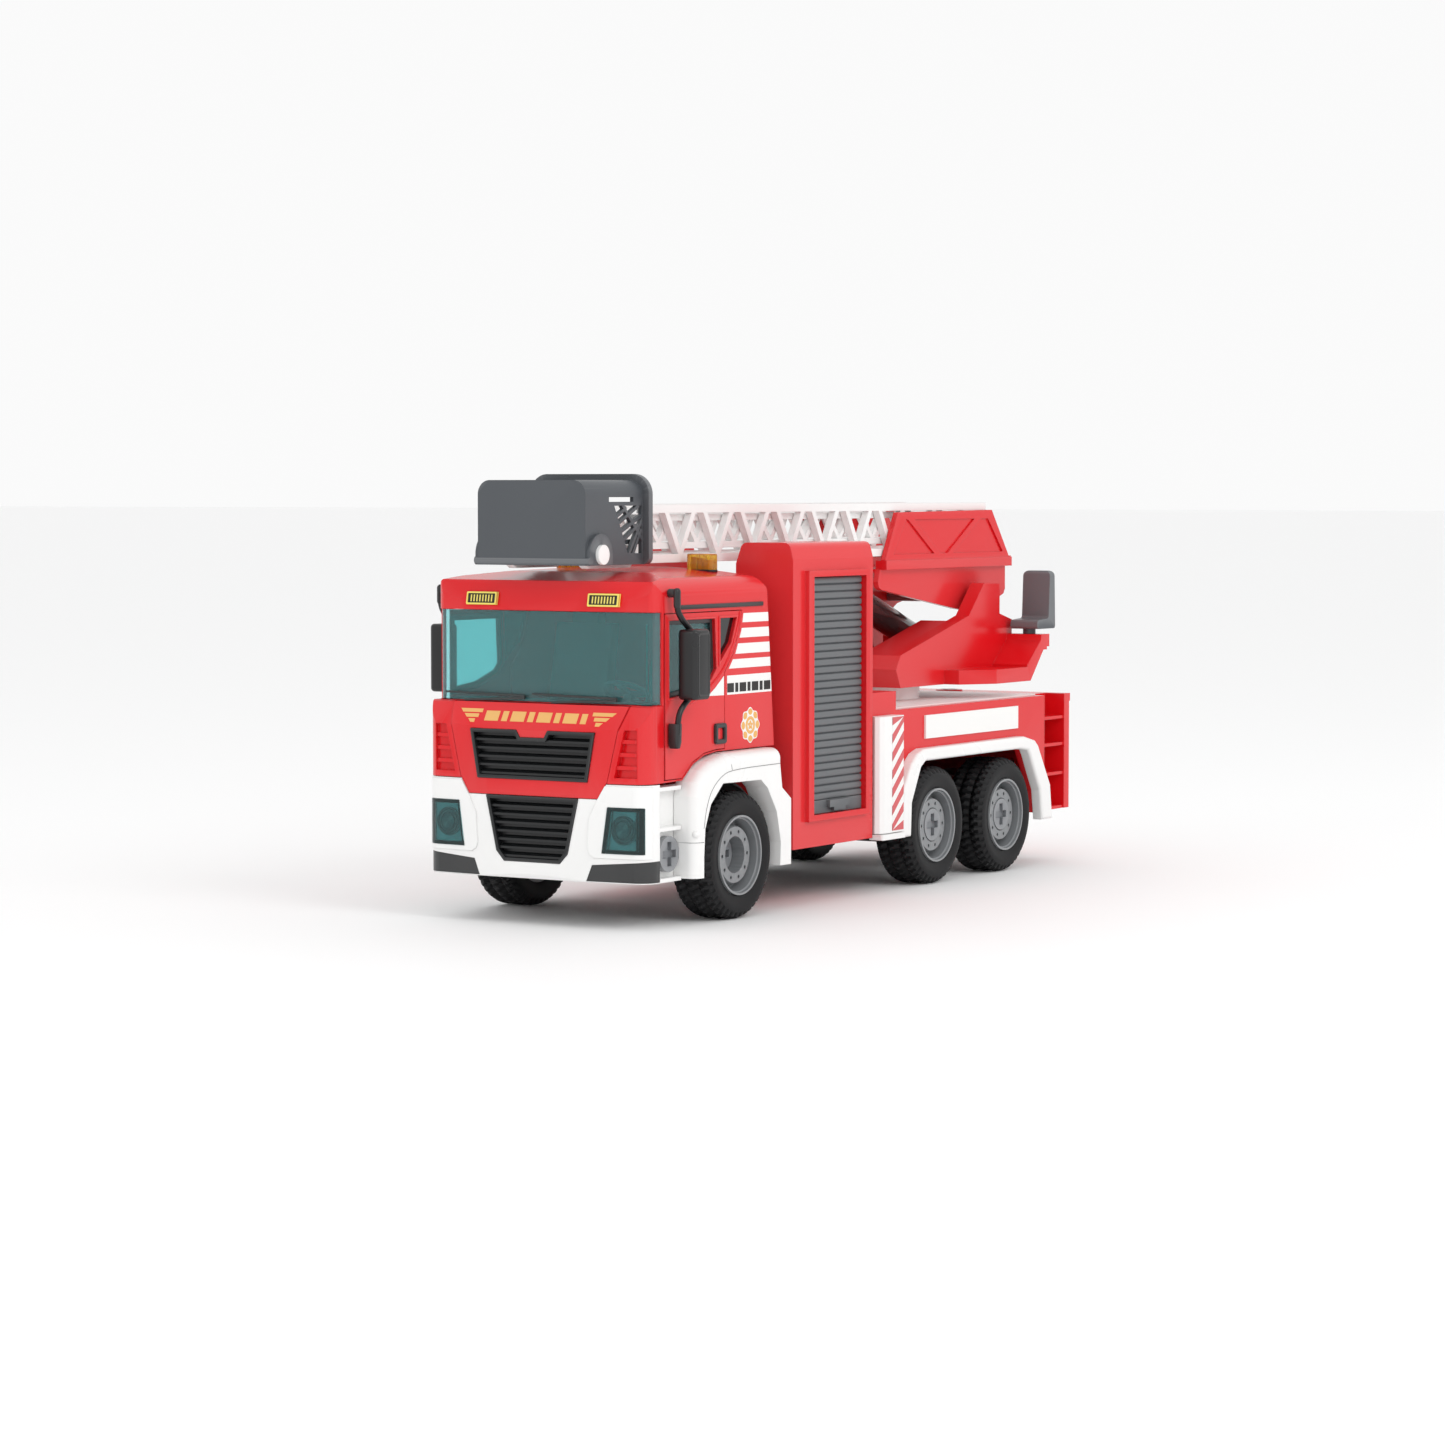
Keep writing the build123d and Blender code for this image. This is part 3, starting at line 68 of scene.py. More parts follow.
def moulded(name, color, rough=0.35, spread=0.08, bump=0.04, edge=0.35, coat=0.0,
            wear=0.06, stain=0.04, transmission=0.0, ior=1.46):
    """Moulded plastic or rubber: noise in roughness and tone, softened and faintly paler edges."""
    made = bpy.data.materials.new(name)
    made.use_nodes = True
    tree = made.node_tree
    tree.nodes.clear()
    new = tree.nodes.new
    out = new("ShaderNodeOutputMaterial")
    shader = new("ShaderNodeBsdfPrincipled")
    link(tree, shader, "BSDF", out, "Surface")
    place = new("ShaderNodeTexCoord")
    broad = new("ShaderNodeTexNoise")
    broad.inputs["Scale"].default_value = BROAD_GRAIN
    broad.inputs["Detail"].default_value = 4.0
    link(tree, place, "Object", broad, "Vector")
    fine = new("ShaderNodeTexNoise")
    fine.inputs["Scale"].default_value = FINE_GRAIN
    fine.inputs["Detail"].default_value = 3.0
    link(tree, place, "Object", fine, "Vector")
    gloss = new("ShaderNodeMapRange")
    gloss.inputs["To Min"].default_value = max(0.02, rough - spread)
    gloss.inputs["To Max"].default_value = min(1.0, rough + spread)
    link(tree, broad, "Fac", gloss, "Value")
    link(tree, gloss, "Result", shader, "Roughness")
    geometry = new("ShaderNodeNewGeometry")
    rim = new("ShaderNodeMapRange")
    rim.inputs["From Min"].default_value = 0.53
    rim.inputs["From Max"].default_value = 0.62
    rim.inputs["To Max"].default_value = wear * 4
    link(tree, geometry, "Pointiness", rim, "Value")
    tone = new("ShaderNodeMix")
    tone.data_type = "RGBA"
    tone.inputs["A"].default_value = (*color, 1.0)
    dark = [c * (1.0 - stain * 2.5) for c in color]
    tone.inputs["B"].default_value = (*dark, 1.0)
    link(tree, broad, "Fac", tone, "Factor")
    worn = new("ShaderNodeMix")
    worn.data_type = "RGBA"
    light = [c + (1.0 - c) * 0.35 for c in color]
    worn.inputs["B"].default_value = (*light, 1.0)
    tree.links.new(tone.outputs[2], worn.inputs[6])
    link(tree, rim, "Result", worn, "Factor")
    tree.links.new(worn.outputs[2], shader.inputs["Base Color"])
    if edge:
        soft = new("ShaderNodeBevel")
        soft.samples = 4
        soft.inputs["Radius"].default_value = edge * MM
    relief = new("ShaderNodeBump")
    relief.inputs["Strength"].default_value = bump
    relief.inputs["Distance"].default_value = 0.0002
    link(tree, fine, "Fac", relief, "Height")
    if edge:
        link(tree, soft, "Normal", relief, "Normal")
    link(tree, relief, "Normal", shader, "Normal")
    shader.inputs["IOR"].default_value = ior
    shader.inputs["Coat Weight"].default_value = coat
    shader.inputs["Coat Roughness"].default_value = 0.12
    shader.inputs["Transmission Weight"].default_value = transmission
    return made


MAT = {
    "red": moulded("red_plastic", (0.74, 0.008, 0.013), rough=0.2, spread=0.04, bump=0.02, edge=0.45,
                   wear=0.02, ior=1.4),
    "white": moulded("white_plastic", (0.88, 0.88, 0.87), rough=0.3, edge=0.45, stain=0.012, bump=0.02),
    "basket": moulded("basket_grey", (0.075, 0.083, 0.093), rough=0.42, edge=0.4),
    "shutter": moulded("shutter_grey", (0.070, 0.078, 0.086), rough=0.45, edge=0.2),
    "rim": moulded("rim_grey", (0.21, 0.22, 0.23), rough=0.3, edge=0.25, coat=0.1),
    "bolt": moulded("bolt_grey", (0.22, 0.23, 0.245), rough=0.38, edge=0.25),
    "black": moulded("black_plastic", (0.007, 0.007, 0.008), rough=0.3, edge=0.35, wear=0.02),
    "grille": moulded("grille_black", (0.010, 0.011, 0.012), rough=0.35, edge=0.2, wear=0.02),
    "interior": moulded("interior_black", (0.035, 0.039, 0.043), rough=0.5, edge=0.4, wear=0.02),
    "rubber": moulded("tyre_rubber", (0.005, 0.005, 0.006), rough=0.6, edge=0.25, bump=0.12,
                      wear=0.02, ior=1.38),
    "ram": moulded("ram_black", (0.008, 0.008, 0.009), rough=0.14, coat=0.6, edge=0.3, wear=0.02),
    "rod": moulded("rod_white", (0.72, 0.73, 0.74), rough=0.16, coat=0.4, edge=0.2, stain=0.01),
    "lamp": moulded("lamp_grey", (0.03, 0.032, 0.035), rough=0.3, edge=0.2),
    "amber": moulded("amber_clear", (0.92, 0.62, 0.06), rough=0.08, spread=0.03, edge=0.2,
                     transmission=0.85, stain=0.01),
    "yellow": moulded("marker_yellow", (0.88, 0.72, 0.08), rough=0.3, edge=0.15, stain=0.01),
    "glass": moulded("turquoise_glazing", (0.36, 0.80, 0.82), rough=0.035, spread=0.015, edge=0.15,
                     transmission=0.91, bump=0.0, stain=0.0, wear=0.0, ior=1.4),
    "lens": moulded("headlight_glazing", (0.30, 0.70, 0.72), rough=0.035, spread=0.015, edge=0.5,
                    transmission=0.97, bump=0.0, stain=0.0, wear=0.0, ior=1.4),
    "gold": moulded("print_gold", (0.80, 0.40, 0.06), rough=0.4, edge=0.0, stain=0.02),
    # This grey serves the real joint lines and also painted shade: the line along each front fender's
    # shoulder crease.
    "seam": moulded("seam_and_shade_line_grey", (0.20, 0.20, 0.20), rough=0.6, edge=0.0),
    "gloss_black": moulded("gloss_black", (0.006, 0.006, 0.007), rough=0.12, coat=0.3, edge=0.15, wear=0.0),
    "lamp_back": moulded("lamp_tray", (0.30, 0.32, 0.33), rough=0.35, edge=0.1),
    "amber_core": moulded("amber_core", (0.75, 0.30, 0.03), rough=0.3, edge=0.1),
    "print_white": moulded("print_white", (0.87, 0.87, 0.85), rough=0.4, edge=0.0, stain=0.01),
    # This black serves printed marks and also painted shade: the cross recess of the deck bolt.
    "print_and_painted_shade_black": moulded("print_and_painted_shade_black", (0.006, 0.006, 0.006), rough=0.4, edge=0.0, wear=0.0),
    "print_red": moulded("print_red", (0.62, 0.02, 0.03), rough=0.4, edge=0.0),
}

PAINT = {
    "chassis_frame": "black", "front_bumper": "white", "bumper_insert": "grille",
    "headlight_lenses": "lens", "headlight_lamps": "lamp", "cab_shell": "red", "front_panel": "red",
    "upper_grille": "grille", "windscreen": "glass", "wipers": "black", "cab_interior": "interior",
    "marker_lights": "yellow", "roof_beacons": "amber", "front_fenders": "white", "body_bolts": "bolt",
    "rear_body": "red", "deck": "white", "rear_fenders": "white", "side_plates": "print_white",
    "tail_lights": "amber", "wheel_bolts": "bolt", "slew_pedestal": "white", "turntable_frame": "red",
    "operator_seat": "basket", "boom_frame": "red", "boom_pin": "bolt", "ram_barrel": "ram",
    "ram_rod": "rod", "ladder_middle": "white", "ladder_fly": "white", "basket": "basket",
    "basket_pins": "white",
}
for side in SIDES:
    PAINT.update({f"cabinet_{side}": "red", f"door_{side}": "red", f"door_glass_{side}": "glass"})
    PAINT.update({f"door_trim_{side}": "black", f"shutter_curtain_{side}": "shutter"})
    PAINT.update({f"shutter_bar_{side}": "shutter", f"outrigger_{side}": "white"})
    PAINT.update({f"outrigger_foot_{side}": "white"})
    for axle in AXLES:
        PAINT[f"tyre_{axle}_{side}"] = "rubber"
        PAINT[f"rim_{axle}_{side}"] = "rim"

for node, key in PAINT.items():
    obj = NODES[node]
    obj.data.materials.clear()
    obj.data.materials.append(MAT[key])


# Builders. They take millimetres and make metres. SHARP is the angle from which an edge is shaded
# sharp, PRINT is how far a print stands out of a wall, and SINK is how deep it starts in it.

SHARP = math.radians(35)
PRINT = 0.12
SINK = 0.3


def box_mm(node):
    """A CAD node's lowest and highest corners."""
    return [Vector(corner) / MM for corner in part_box(node)]


CAB_X = box_mm("cab_shell")[1].x


def finish_piece(name, mesh, key, body):
    """Makes an object from a bmesh, gives it a material and a body."""
    data = bpy.data.meshes.new(name)
    bmesh.ops.recalc_face_normals(mesh, faces=mesh.faces)
    for face in mesh.faces:
        face.smooth = True
    for edge in mesh.edges:
        edge.smooth = edge.calc_face_angle(0.0) < SHARP
    mesh.to_mesh(data)
    mesh.free()
    data.materials.append(MAT[key])
    obj = bpy.data.objects.new(name, data)
    bpy.context.scene.collection.objects.link(obj)
    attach(obj, body)
    return obj


def join_loops(mesh, here, then):
    """Quads between two loops with the same number of vertices."""
    count = len(here)
    for i in range(count):
        k = (i + 1) % count
        mesh.faces.new((here[i], here[k], then[k], then[i]))


def skin(mesh, rings):
    """Joins rings of points with quads, and caps both ends."""
    made = [[mesh.verts.new(Vector(p) * MM) for p in ring] for ring in rings]
    for here, then in zip(made, made[1:]):
        join_loops(mesh, here, then)
    mesh.faces.new(made[0][::-1])
    mesh.faces.new(made[-1])


def add_prism(mesh, rim, shift):
    """A closed prism: a ring of 3-D points and the vector it is swept along."""
    shift = Vector(shift)
    skin(mesh, [rim, [Vector(p) + shift for p in rim]])


def add_box(mesh, low, high):
    x0, y0, z0 = low
    x1, y1, z1 = high
    add_prism(mesh, [(x0, y0, z0), (x1, y0, z0), (x1, y1, z0), (x0, y1, z0)], (0, 0, z1 - z0))


def add_ring(mesh, outer, inner, shift):
    """A closed frame between two outlines with the same number of points."""
    shift = Vector(shift)
    outer = [Vector(p) for p in outer]
    inner = [Vector(p) for p in inner]
    loops = [outer, [p + shift for p in outer], [p + shift for p in inner], inner]
    made = [[mesh.verts.new(p * MM) for p in loop] for loop in loops]
    for here, then in zip(made, made[1:] + made[:1]):
        join_loops(mesh, here, then)


def add_lathe(mesh, centre, axis, profile, steps=40):
    """A solid of revolution: profile is (distance along the axis, radius), from one end to the other."""
    axis = Vector(axis).normalized()
    across = axis.orthogonal().normalized()
    upright = axis.cross(across)
    centre = Vector(centre)
    rings = []
    for along, radius in profile:
        ring = []
        for i in range(steps):
            angle = 2 * math.pi * i / steps
            out = across * math.cos(angle) + upright * math.sin(angle)
            ring.append(centre + axis * along + out * max(radius, 0.01))
        rings.append(ring)
    skin(mesh, rings)


def smooth_line(points, rounds=2):
    """Cuts a line's corners round, and keeps its two ends."""
    for _ in range(rounds):
        cut = [points[0]]
        for a, b in zip(points, points[1:]):
            a, b = Vector(a), Vector(b)
            cut += [a.lerp(b, 0.25), a.lerp(b, 0.75)]
        points = cut + [points[-1]]
    return [Vector(p) for p in points]


# The last two rings of a rod's round end: how far they are pushed out, and their size
ROD_END = [(0.5, 0.87), (0.85, 0.5)]


def add_rod(mesh, path, radii, sides=14):
    """A rod with round ends along a 3-D path. Its radii are across the path and upright to it."""
    path = [Vector(p) for p in path]
    wide, tall = radii
    rings = []
    last = len(path) - 1
    for i, point in enumerate(path):
        run = (path[min(i + 1, last)] - path[max(i - 1, 0)]).normalized()
        across = Vector((1, 0, 0))
        across = (across - run * across.dot(run)).normalized()
        upright = run.cross(across)
        scales = [(0.0, 1.0)]
        if i in (0, last):
            scales += ROD_END
        if i == 0:
            run = -run
            scales.reverse()
        for push, size in scales:
            ring = []
            for k in range(sides):
                angle = 2 * math.pi * k / sides
                offset = across * wide * math.cos(angle) + upright * tall * math.sin(angle)
                ring.append(point + run * wide * push + offset * size)
            rings.append(ring)
    skin(mesh, rings)


def on_side(side, x, outline):
    """(y, z) points on an upright plane at x on one side of the vehicle."""
    return [(side * x, y, z) for y, z in outline]


def arc_points(centre, radius, start, end, steps):
    found = []
    for i in range(steps + 1):
        angle = math.radians(start + (end - start) * i / steps)
        found.append((centre[0] + radius * math.cos(angle), centre[1] + radius * math.sin(angle)))
    return found


def rounded_box(low, high, radius, steps=4):
    """The outline of a rectangle with round corners, as points in its plane."""
    (u0, v0), (u1, v1) = low, high
    corners = [((u1 - radius, v1 - radius), 0), ((u0 + radius, v1 - radius), 90)]
    corners += [((u0 + radius, v0 + radius), 180), ((u1 - radius, v0 + radius), 270)]
    points = []
    for centre, start in corners:
        points += arc_points(centre, radius, start, start + 90, steps)
    return points


def add_soft_block(mesh, outline, place, depth, edge, steps=3):
    """An outline swept by a depth, its two rims rounded. place(u, v, w) gives the 3-D point."""
    count = len(outline)
    outline = [Vector(p) for p in outline]
    inward = []
    for i in range(count):
        run = (outline[(i + 1) % count] - outline[i - 1]).normalized()
        inward.append(Vector((-run[1], run[0])))
    rings = []
    levels = []
    for k in range(steps + 1):
        angle = math.pi / 2 * k / steps
        levels.append((edge * (1 - math.sin(angle)), edge * (1 - math.cos(angle))))
    for inset, w in levels:
        rings.append([place(*(p + n * inset), w) for p, n in zip(outline, inward)])
    for inset, w in reversed(levels):
        rings.append([place(*(p + n * inset), depth - w) for p, n in zip(outline, inward)])
    skin(mesh, rings)


# Tyres: a smooth side wall, a shoulder of blocks and a zigzag tread

TREAD_COUNT = 44
TREAD_GAP = 0.24
TREAD_WAVE = 0.45
TREAD_DEPTH = 1.5
SHOULDER_DEPTH = 0.4 * TREAD_DEPTH
SHOULDER_X = 9.0
LONG_GROOVE_X = 3.4
TYRE_RINGS = [
    # distance across the tyre from its middle, radius, is it cut by the tread
    (9.2, 17.75, 0), (9.6, 18.4, 0), (9.9, 20.2, 0), (10.3, 22.0, 0), (10.35, 23.6, 0), (10.0, 25.0, 0),
    (9.75, 25.4, 1), (8.6, 27.2, 1), (6.9, 28.0, 1), (5.6, 28.15, 1), (LONG_GROOVE_X, 28.18, 1),
]


def tyre_mesh(centre):
    mesh = bmesh.new()
    steps = TREAD_COUNT * 4
    across = [(x, r, cut) for x, r, cut in TYRE_RINGS]
    across += [(1.2, 28.2, 1), (-1.2, 28.2, 1)]
    across += [(-x, r, cut) for x, r, cut in reversed(TYRE_RINGS)]
    grid = []
    for i in range(steps):
        ring = []
        for x, r, cut in across:
            zigzag = TREAD_WAVE * math.sin(x * 1.15) if abs(x) < SHOULDER_X else 0.0
            frac = (i / 4 + zigzag + (0.5 if x < 0 else 0.0)) % 1.0
            depth = 0.0
            if abs(x) == LONG_GROOVE_X:
                depth = TREAD_DEPTH
            elif cut and frac < TREAD_GAP:
                depth = TREAD_DEPTH if abs(x) < SHOULDER_X else SHOULDER_DEPTH
            angle = 2 * math.pi * i / steps
            radius = (r - depth) * MM
            side = Vector((x * MM, radius * math.cos(angle), radius * math.sin(angle)))
            ring.append(mesh.verts.new(centre + side))
        grid.append(ring)
    for i in range(steps):
        here, then = grid[i], grid[(i + 1) % steps]
        for j in range(len(across) - 1):
            mesh.faces.new((here[j], here[j + 1], then[j + 1], then[j]))
        mesh.faces.new((here[-1], here[0], then[0], then[-1]))
    return mesh


for axle in AXLES:
    for side in SIDES:
        node = f"tyre_{axle}_{side}"
        low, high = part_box(node)
        mesh = tyre_mesh((low + high) / 2)
        tyre = finish_piece(f"tread_{axle}_{side}", mesh, "rubber", f"wheel_{axle}_{side}")
        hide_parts(node)


# Fenders: dark liners over the front wheels, joint lines, a painted shade line around each arch along the
# crease where the rounded shoulder begins, and domed pegs

FENDER_LOW, FENDER_HIGH = box_mm("front_fenders")
FENDER_X = FENDER_HIGH.x
FENDER_FRONT = FENDER_LOW.y
FENDER_ROUND = 4.6
COLUMN = Vector((FENDER_X - FENDER_ROUND, FENDER_FRONT + FENDER_ROUND, 0.0))
FRONT_AXLE = sum(box_mm("tyre_front_left"), Vector()) / 2
# The crease around each arch where the rounded shoulder begins, as (y, z). It is drawn as a dark rod, so it
# is painted shade, not a groove.
SHOULDER_SHADE_LINE = [
    (-162.3, 42.6), (-160.6, 50.5), (-156.6, 58.4), (-148.4, 64.2), (-139.2, 66.6), (-98.8, 66.9),
]
TOP_SEAM = [
    (57.9, -141.6, 73.6), (61.0, -141.6, 73.55), (63.6, -141.2, 72.4), (65.1, -140.6, 70.4),
    (65.62, -139.8, 68.6), (65.62, -139.2, 66.6),
]
LOW_SEAM_Z = 36.6
PEG_Z = 40.3
LINER_R = (31.4, 32.2)
LINER_X = (36.0, 54.0)


def low_seam():
    """The level joint line around a fender's rounded front column, as (x, y) points."""
    turns = [0.3 * k for k in range(1, 6)]
    corner = [(FENDER_ROUND * math.sin(a), -FENDER_ROUND * math.cos(a)) for a in turns]
    line = [(54.4, FENDER_FRONT), (COLUMN.x, FENDER_FRONT)]
    line += [(COLUMN.x + u, COLUMN.y + v) for u, v in corner]
    return line + [(FENDER_X + 0.02, FENDER_FRONT + 6.1)]


def build_fender_joints_and_shade_line():
    """The painted shade line around each arch, a dark rod along the crease where the rounded shoulder
    begins, and the two joint lines of each front fender.
    """
    mesh = bmesh.new()
    for side in SIDES.values():
        # A dark rod along the shoulder's crease: painted shade of that crease.
        dark_line_path = smooth_line([(side * (FENDER_X + 0.02), y, z) for y, z in SHOULDER_SHADE_LINE])
        add_rod(mesh, dark_line_path, (0.17, 0.17), sides=6)
        over = smooth_line([(side * x, y, z) for x, y, z in TOP_SEAM], 1)
        add_rod(mesh, over, (0.15, 0.15), sides=6)
        add_rod(mesh, [(side * x, y, LOW_SEAM_Z) for x, y in low_seam()], (0.15, 0.15), sides=6)
    finish_piece("fender_joints_and_shade_line", mesh, "seam", "chassis")


def build_fender_pegs():
    """A small dome on each rounded front column."""
    mesh = bmesh.new()
    dome = [(0.0, 1.6), (0.7, 1.6), (1.3, 1.3), (1.7, 0.7), (1.85, 0.1)]
    for side in SIDES.values():
        out = Vector((side * 0.74, -0.67, 0.0))
        foot = Vector((side * COLUMN.x, COLUMN.y, PEG_Z)) + out * (FENDER_ROUND - 0.2)
        add_lathe(mesh, foot, out, dome, 20)
    finish_piece("fender_pegs", mesh, "white", "chassis")


def build_wheel_wells():
    """Dark liners over the front wheels."""
    mesh = bmesh.new()
    low, high = LINER_R
    centre = (FRONT_AXLE.y, FRONT_AXLE.z)
    arch = arc_points(centre, low, 8, 172, 24) + arc_points(centre, high, 172, 8, 24)
    for side in SIDES.values():
        add_prism(mesh, on_side(side, LINER_X[0], arch), (side * (LINER_X[1] - LINER_X[0]), 0, 0))
    finish_piece("wheel_well_liners", mesh, "black", "chassis")


build_wheel_wells()
build_fender_joints_and_shade_line()
build_fender_pegs()


# Printed stripes, dashes and emblem on the cab's side

SIDE_STRIPES = [(130.0, 134.0), (123.3, 127.5), (116.3, 120.8), (110.0, 114.0)]
WIDE_STRIPE = (98.6, 107.0)
DOOR_SEAM = [(-118.3, 137.0), (-120.4, 127.0), (-125.6, 116.4), (-132.6, 108.4), (-132.6, 96.0)]
SEAM_GAP = 1.3
CORNER_PRINT = [(-134.0, 98.6), (-134.0, 107.0), (-136.2, 105.4), (-141.2, 102.0), (-147.0, 98.8)]
DASH_START = -131.2
DASH_Z = (99.6, 103.6)
DASH_WIDTHS = (5.4, 2.4, 5.4, 2.4, 5.4, 2.4, 5.4)
DASH_GAP = 1.25
EMBLEM = (-111.9, 84.4)
EMBLEM_R = 7.4


def along_seam(z):
    """The y where the cab's print begins behind the door's rear edge."""
    for (y0, z0), (y1, z1) in zip(DOOR_SEAM, DOOR_SEAM[1:]):
        if z1 <= z <= z0:
            return y0 + (y1 - y0) * (z0 - z) / (z0 - z1)
    return DOOR_SEAM[-1][0]


def rear_edge(z):
    """The y where the cab's print ends, just before the leaning rear edge of the cab."""
    return -93.5 - (z - 96.2) * 0.086


def stripe_outline(low, high):
    levels = [low + (high - low) * k / 4 for k in range(5)]
    front = [(along_seam(z) + SEAM_GAP, z) for z in levels]
    return front + [(rear_edge(high), high), (rear_edge(low), low)]


def build_side_print():
    for name, side in SIDES.items():
        start = CAB_X - SINK
        shift = (side * (SINK + PRINT), 0, 0)
        white = bmesh.new()
        for low, high in SIDE_STRIPES + [WIDE_STRIPE]:
            add_prism(white, on_side(side, start, stripe_outline(low, high)), shift)
        finish_piece(f"print_stripes_{name}", white, "print_white", "chassis")
        corner = bmesh.new()
        add_prism(corner, on_side(side, start, CORNER_PRINT), shift)
        finish_piece(f"print_corner_{name}", corner, "print_white", f"door_{name}_body")
        dashes = bmesh.new()
        y = DASH_START
        low, high = DASH_Z
        for width in DASH_WIDTHS:
            bar = [(y, low), (y + width, low), (y + width, high), (y, high)]
            add_prism(dashes, on_side(side, start, bar), (side * (SINK + 2 * PRINT), 0, 0))
            y += width + DASH_GAP
        finish_piece(f"print_dashes_{name}", dashes, "print_and_painted_shade_black", "chassis")
        build_emblem(name, side)
        build_gutter(name, side)


def petal(centre, turn, near, far, half):
    """A leaf-shaped outline that points away from a centre."""
    points = []
    for k in range(13):
        t = k / 12
        points.append((near + (far - near) * t, half * math.sin(math.pi * t) ** 0.6))
    points += [(u, -v) for u, v in points[-2:0:-1]]
    cos, sin = math.cos(turn), math.sin(turn)
    return [(centre[0] + u * cos - v * sin, centre[1] + u * sin + v * cos) for u, v in points]


def build_emblem(name, side):
    """A plain emblem of rings and petals."""
    start = CAB_X - SINK
    shift = (side * (SINK + 2 * PRINT), 0, 0)
    white = bmesh.new()
    gold = bmesh.new()
    rim = []
    for k in range(96):
        angle = 2 * math.pi * k / 96
        radius = EMBLEM_R + 0.55 * math.cos(8 * angle)
        rim.append((EMBLEM[0] + radius * math.cos(angle), EMBLEM[1] + radius * math.sin(angle)))
    add_prism(white, on_side(side, start, rim), (side * (SINK + PRINT), 0, 0))
    for k in range(8):
        leaf = petal(EMBLEM, math.pi * k / 4, 4.5, EMBLEM_R, 1.75)
        add_prism(gold, on_side(side, start, leaf), shift)
    outer, inner = [on_side(side, start, arc_points(EMBLEM, r, 0, 360, 48)[:-1]) for r in (3.9, 2.5)]
    add_ring(gold, outer, inner, shift)
    for k in range(5):
        leaf = petal(EMBLEM, 2 * math.pi * k / 5 + 0.3, 0.3, 2.1, 0.62)
        add_prism(gold, on_side(side, start, leaf), shift)
    finish_piece(f"emblem_base_{name}", white, "print_white", "chassis")
    finish_piece(f"emblem_petals_{name}", gold, "gold", "chassis")


def build_gutter(name, side):
    """The black strip above the door."""
    mesh = bmesh.new()
    outline = rounded_box((-170.8, 136.9), (-101.5, 138.8), 0.3, 2)

    def place(u, v, w):
        return (side * (CAB_X - 0.2 + w), u, v)

    add_soft_block(mesh, outline, place, 0.9, 0.25)
    finish_piece(f"door_gutter_{name}", mesh, "black", "chassis")


build_side_print()


# Door: raised mouldings and black window frames

WINDOW = [
    (-178.6, 99.0), (-160.0, 101.0), (-144.8, 105.8), (-140.4, 110.3), (-141.6, 132.4), (-178.6, 132.4),
]
QUARTER = [(-137.2, 113.4), (-128.0, 121.5), (-123.4, 132.4), (-137.2, 132.4)]
DOOR_RIB = [
    (-120.4, 134.4), (-122.0, 127.6), (-127.2, 117.6), (-134.6, 109.4), (-143.4, 103.6),
    (-152.5, 99.0), (-160.0, 96.6), (-168.0, 95.6),
]


def shrunk(outline, amount):
    """A closed anticlockwise outline moved inwards."""
    count = len(outline)
    moved = []
    for i, point in enumerate(outline):
        before = (Vector(point) - Vector(outline[i - 1])).normalized()
        after = (Vector(outline[(i + 1) % count]) - Vector(point)).normalized()
        n0 = Vector((-before[1], before[0]))
        n1 = Vector((-after[1], after[0]))
        middle = (n0 + n1).normalized()
        moved.append(Vector(point) + middle * amount / max(0.4, middle.dot(n0)))
    return moved


def build_door_details():
    for name, side in SIDES.items():
        body = f"door_{name}_body"
        ribs = bmesh.new()
        path = smooth_line([(side * CAB_X, y, z) for y, z in DOOR_RIB])
        add_rod(ribs, path, (0.62, 0.75), sides=10)
        for outline in (WINDOW, QUARTER):
            outer = shrunk(outline, -0.9)
            inner = shrunk(outline, 0.05)
            start = CAB_X - 0.6
            add_ring(ribs, on_side(side, start, outer), on_side(side, start, inner), (side * 0.95, 0, 0))
        finish_piece(f"door_mouldings_{name}", ribs, "red", body)
        frames = bmesh.new()
        start = CAB_X - 2.45
        outer = shrunk(WINDOW, 0.06)
        inner = shrunk(WINDOW, 1.9)
        add_ring(frames, on_side(side, start, outer), on_side(side, start, inner), (side * 1.2, 0, 0))
        finish_piece(f"window_frame_{name}", frames, "black", body)
        blind = bmesh.new()
        pane = shrunk(QUARTER, 0.06)
        add_prism(blind, on_side(side, start, pane), (side * 1.0, 0, 0))
        finish_piece(f"quarter_pane_{name}", blind, "gloss_black", body)


build_door_details()


# Mirrors and door handles

TRIM_HIGH = box_mm("door_trim_left")[1]
MIRROR_LOW = Vector((60.5, -176.1, 98.5))
MIRROR_HIGH = Vector((TRIM_HIGH.x - 0.1, -164.1, 128.7))
HOOD = [
    (62.1, -178.2, 145.2), (62.1, -178.4, 141.0), (62.1, -177.9, 136.6), (62.3, -174.4, 132.6),
    (62.8, -170.6, 129.6), (63.6, -169.0, 127.4),
]
HOOD_CAP = [(62.1, -178.25, 145.0), (62.1, -178.25, 138.8)]
STAY = [
    (63.6, -170.0, 99.6), (62.6, -172.4, 97.2), (62.1, -176.2, 93.6), (62.1, -177.8, 89.0),
    (62.1, -178.0, 84.0),
]
FOOT = [(-180.1, 88.4), (-180.1, 79.6), (-179.2, 77.8), (-177.4, 77.8), (-176.2, 80.4), (-175.9, 88.4)]


def add_mirror_housing(mesh, side):
    """A soft-cornered box, chamfered towards the cab."""
    x0, y0, z0 = MIRROR_LOW
    x1, y1, z1 = MIRROR_HIGH
    plan = [(x0, y0 + 1.4), (x0 + 1.4, y0), (x1 - 1.4, y0), (x1, y0 + 1.4), (x1, y1 - 1.0), (x1 - 1.0, y1)]
    plan += [(x0 + 3.6, y1), (x0, y1 - 4.0)]
    dense = []
    for i, point in enumerate(plan):
        after = plan[(i + 1) % len(plan)]
        dense += [Vector(point).lerp(Vector(after), t) for t in (0.12, 0.88)]

    def place(u, v, w):
        return (side * u, v, z0 + w)

    add_soft_block(mesh, dense, place, z1 - z0, 1.6, 4)


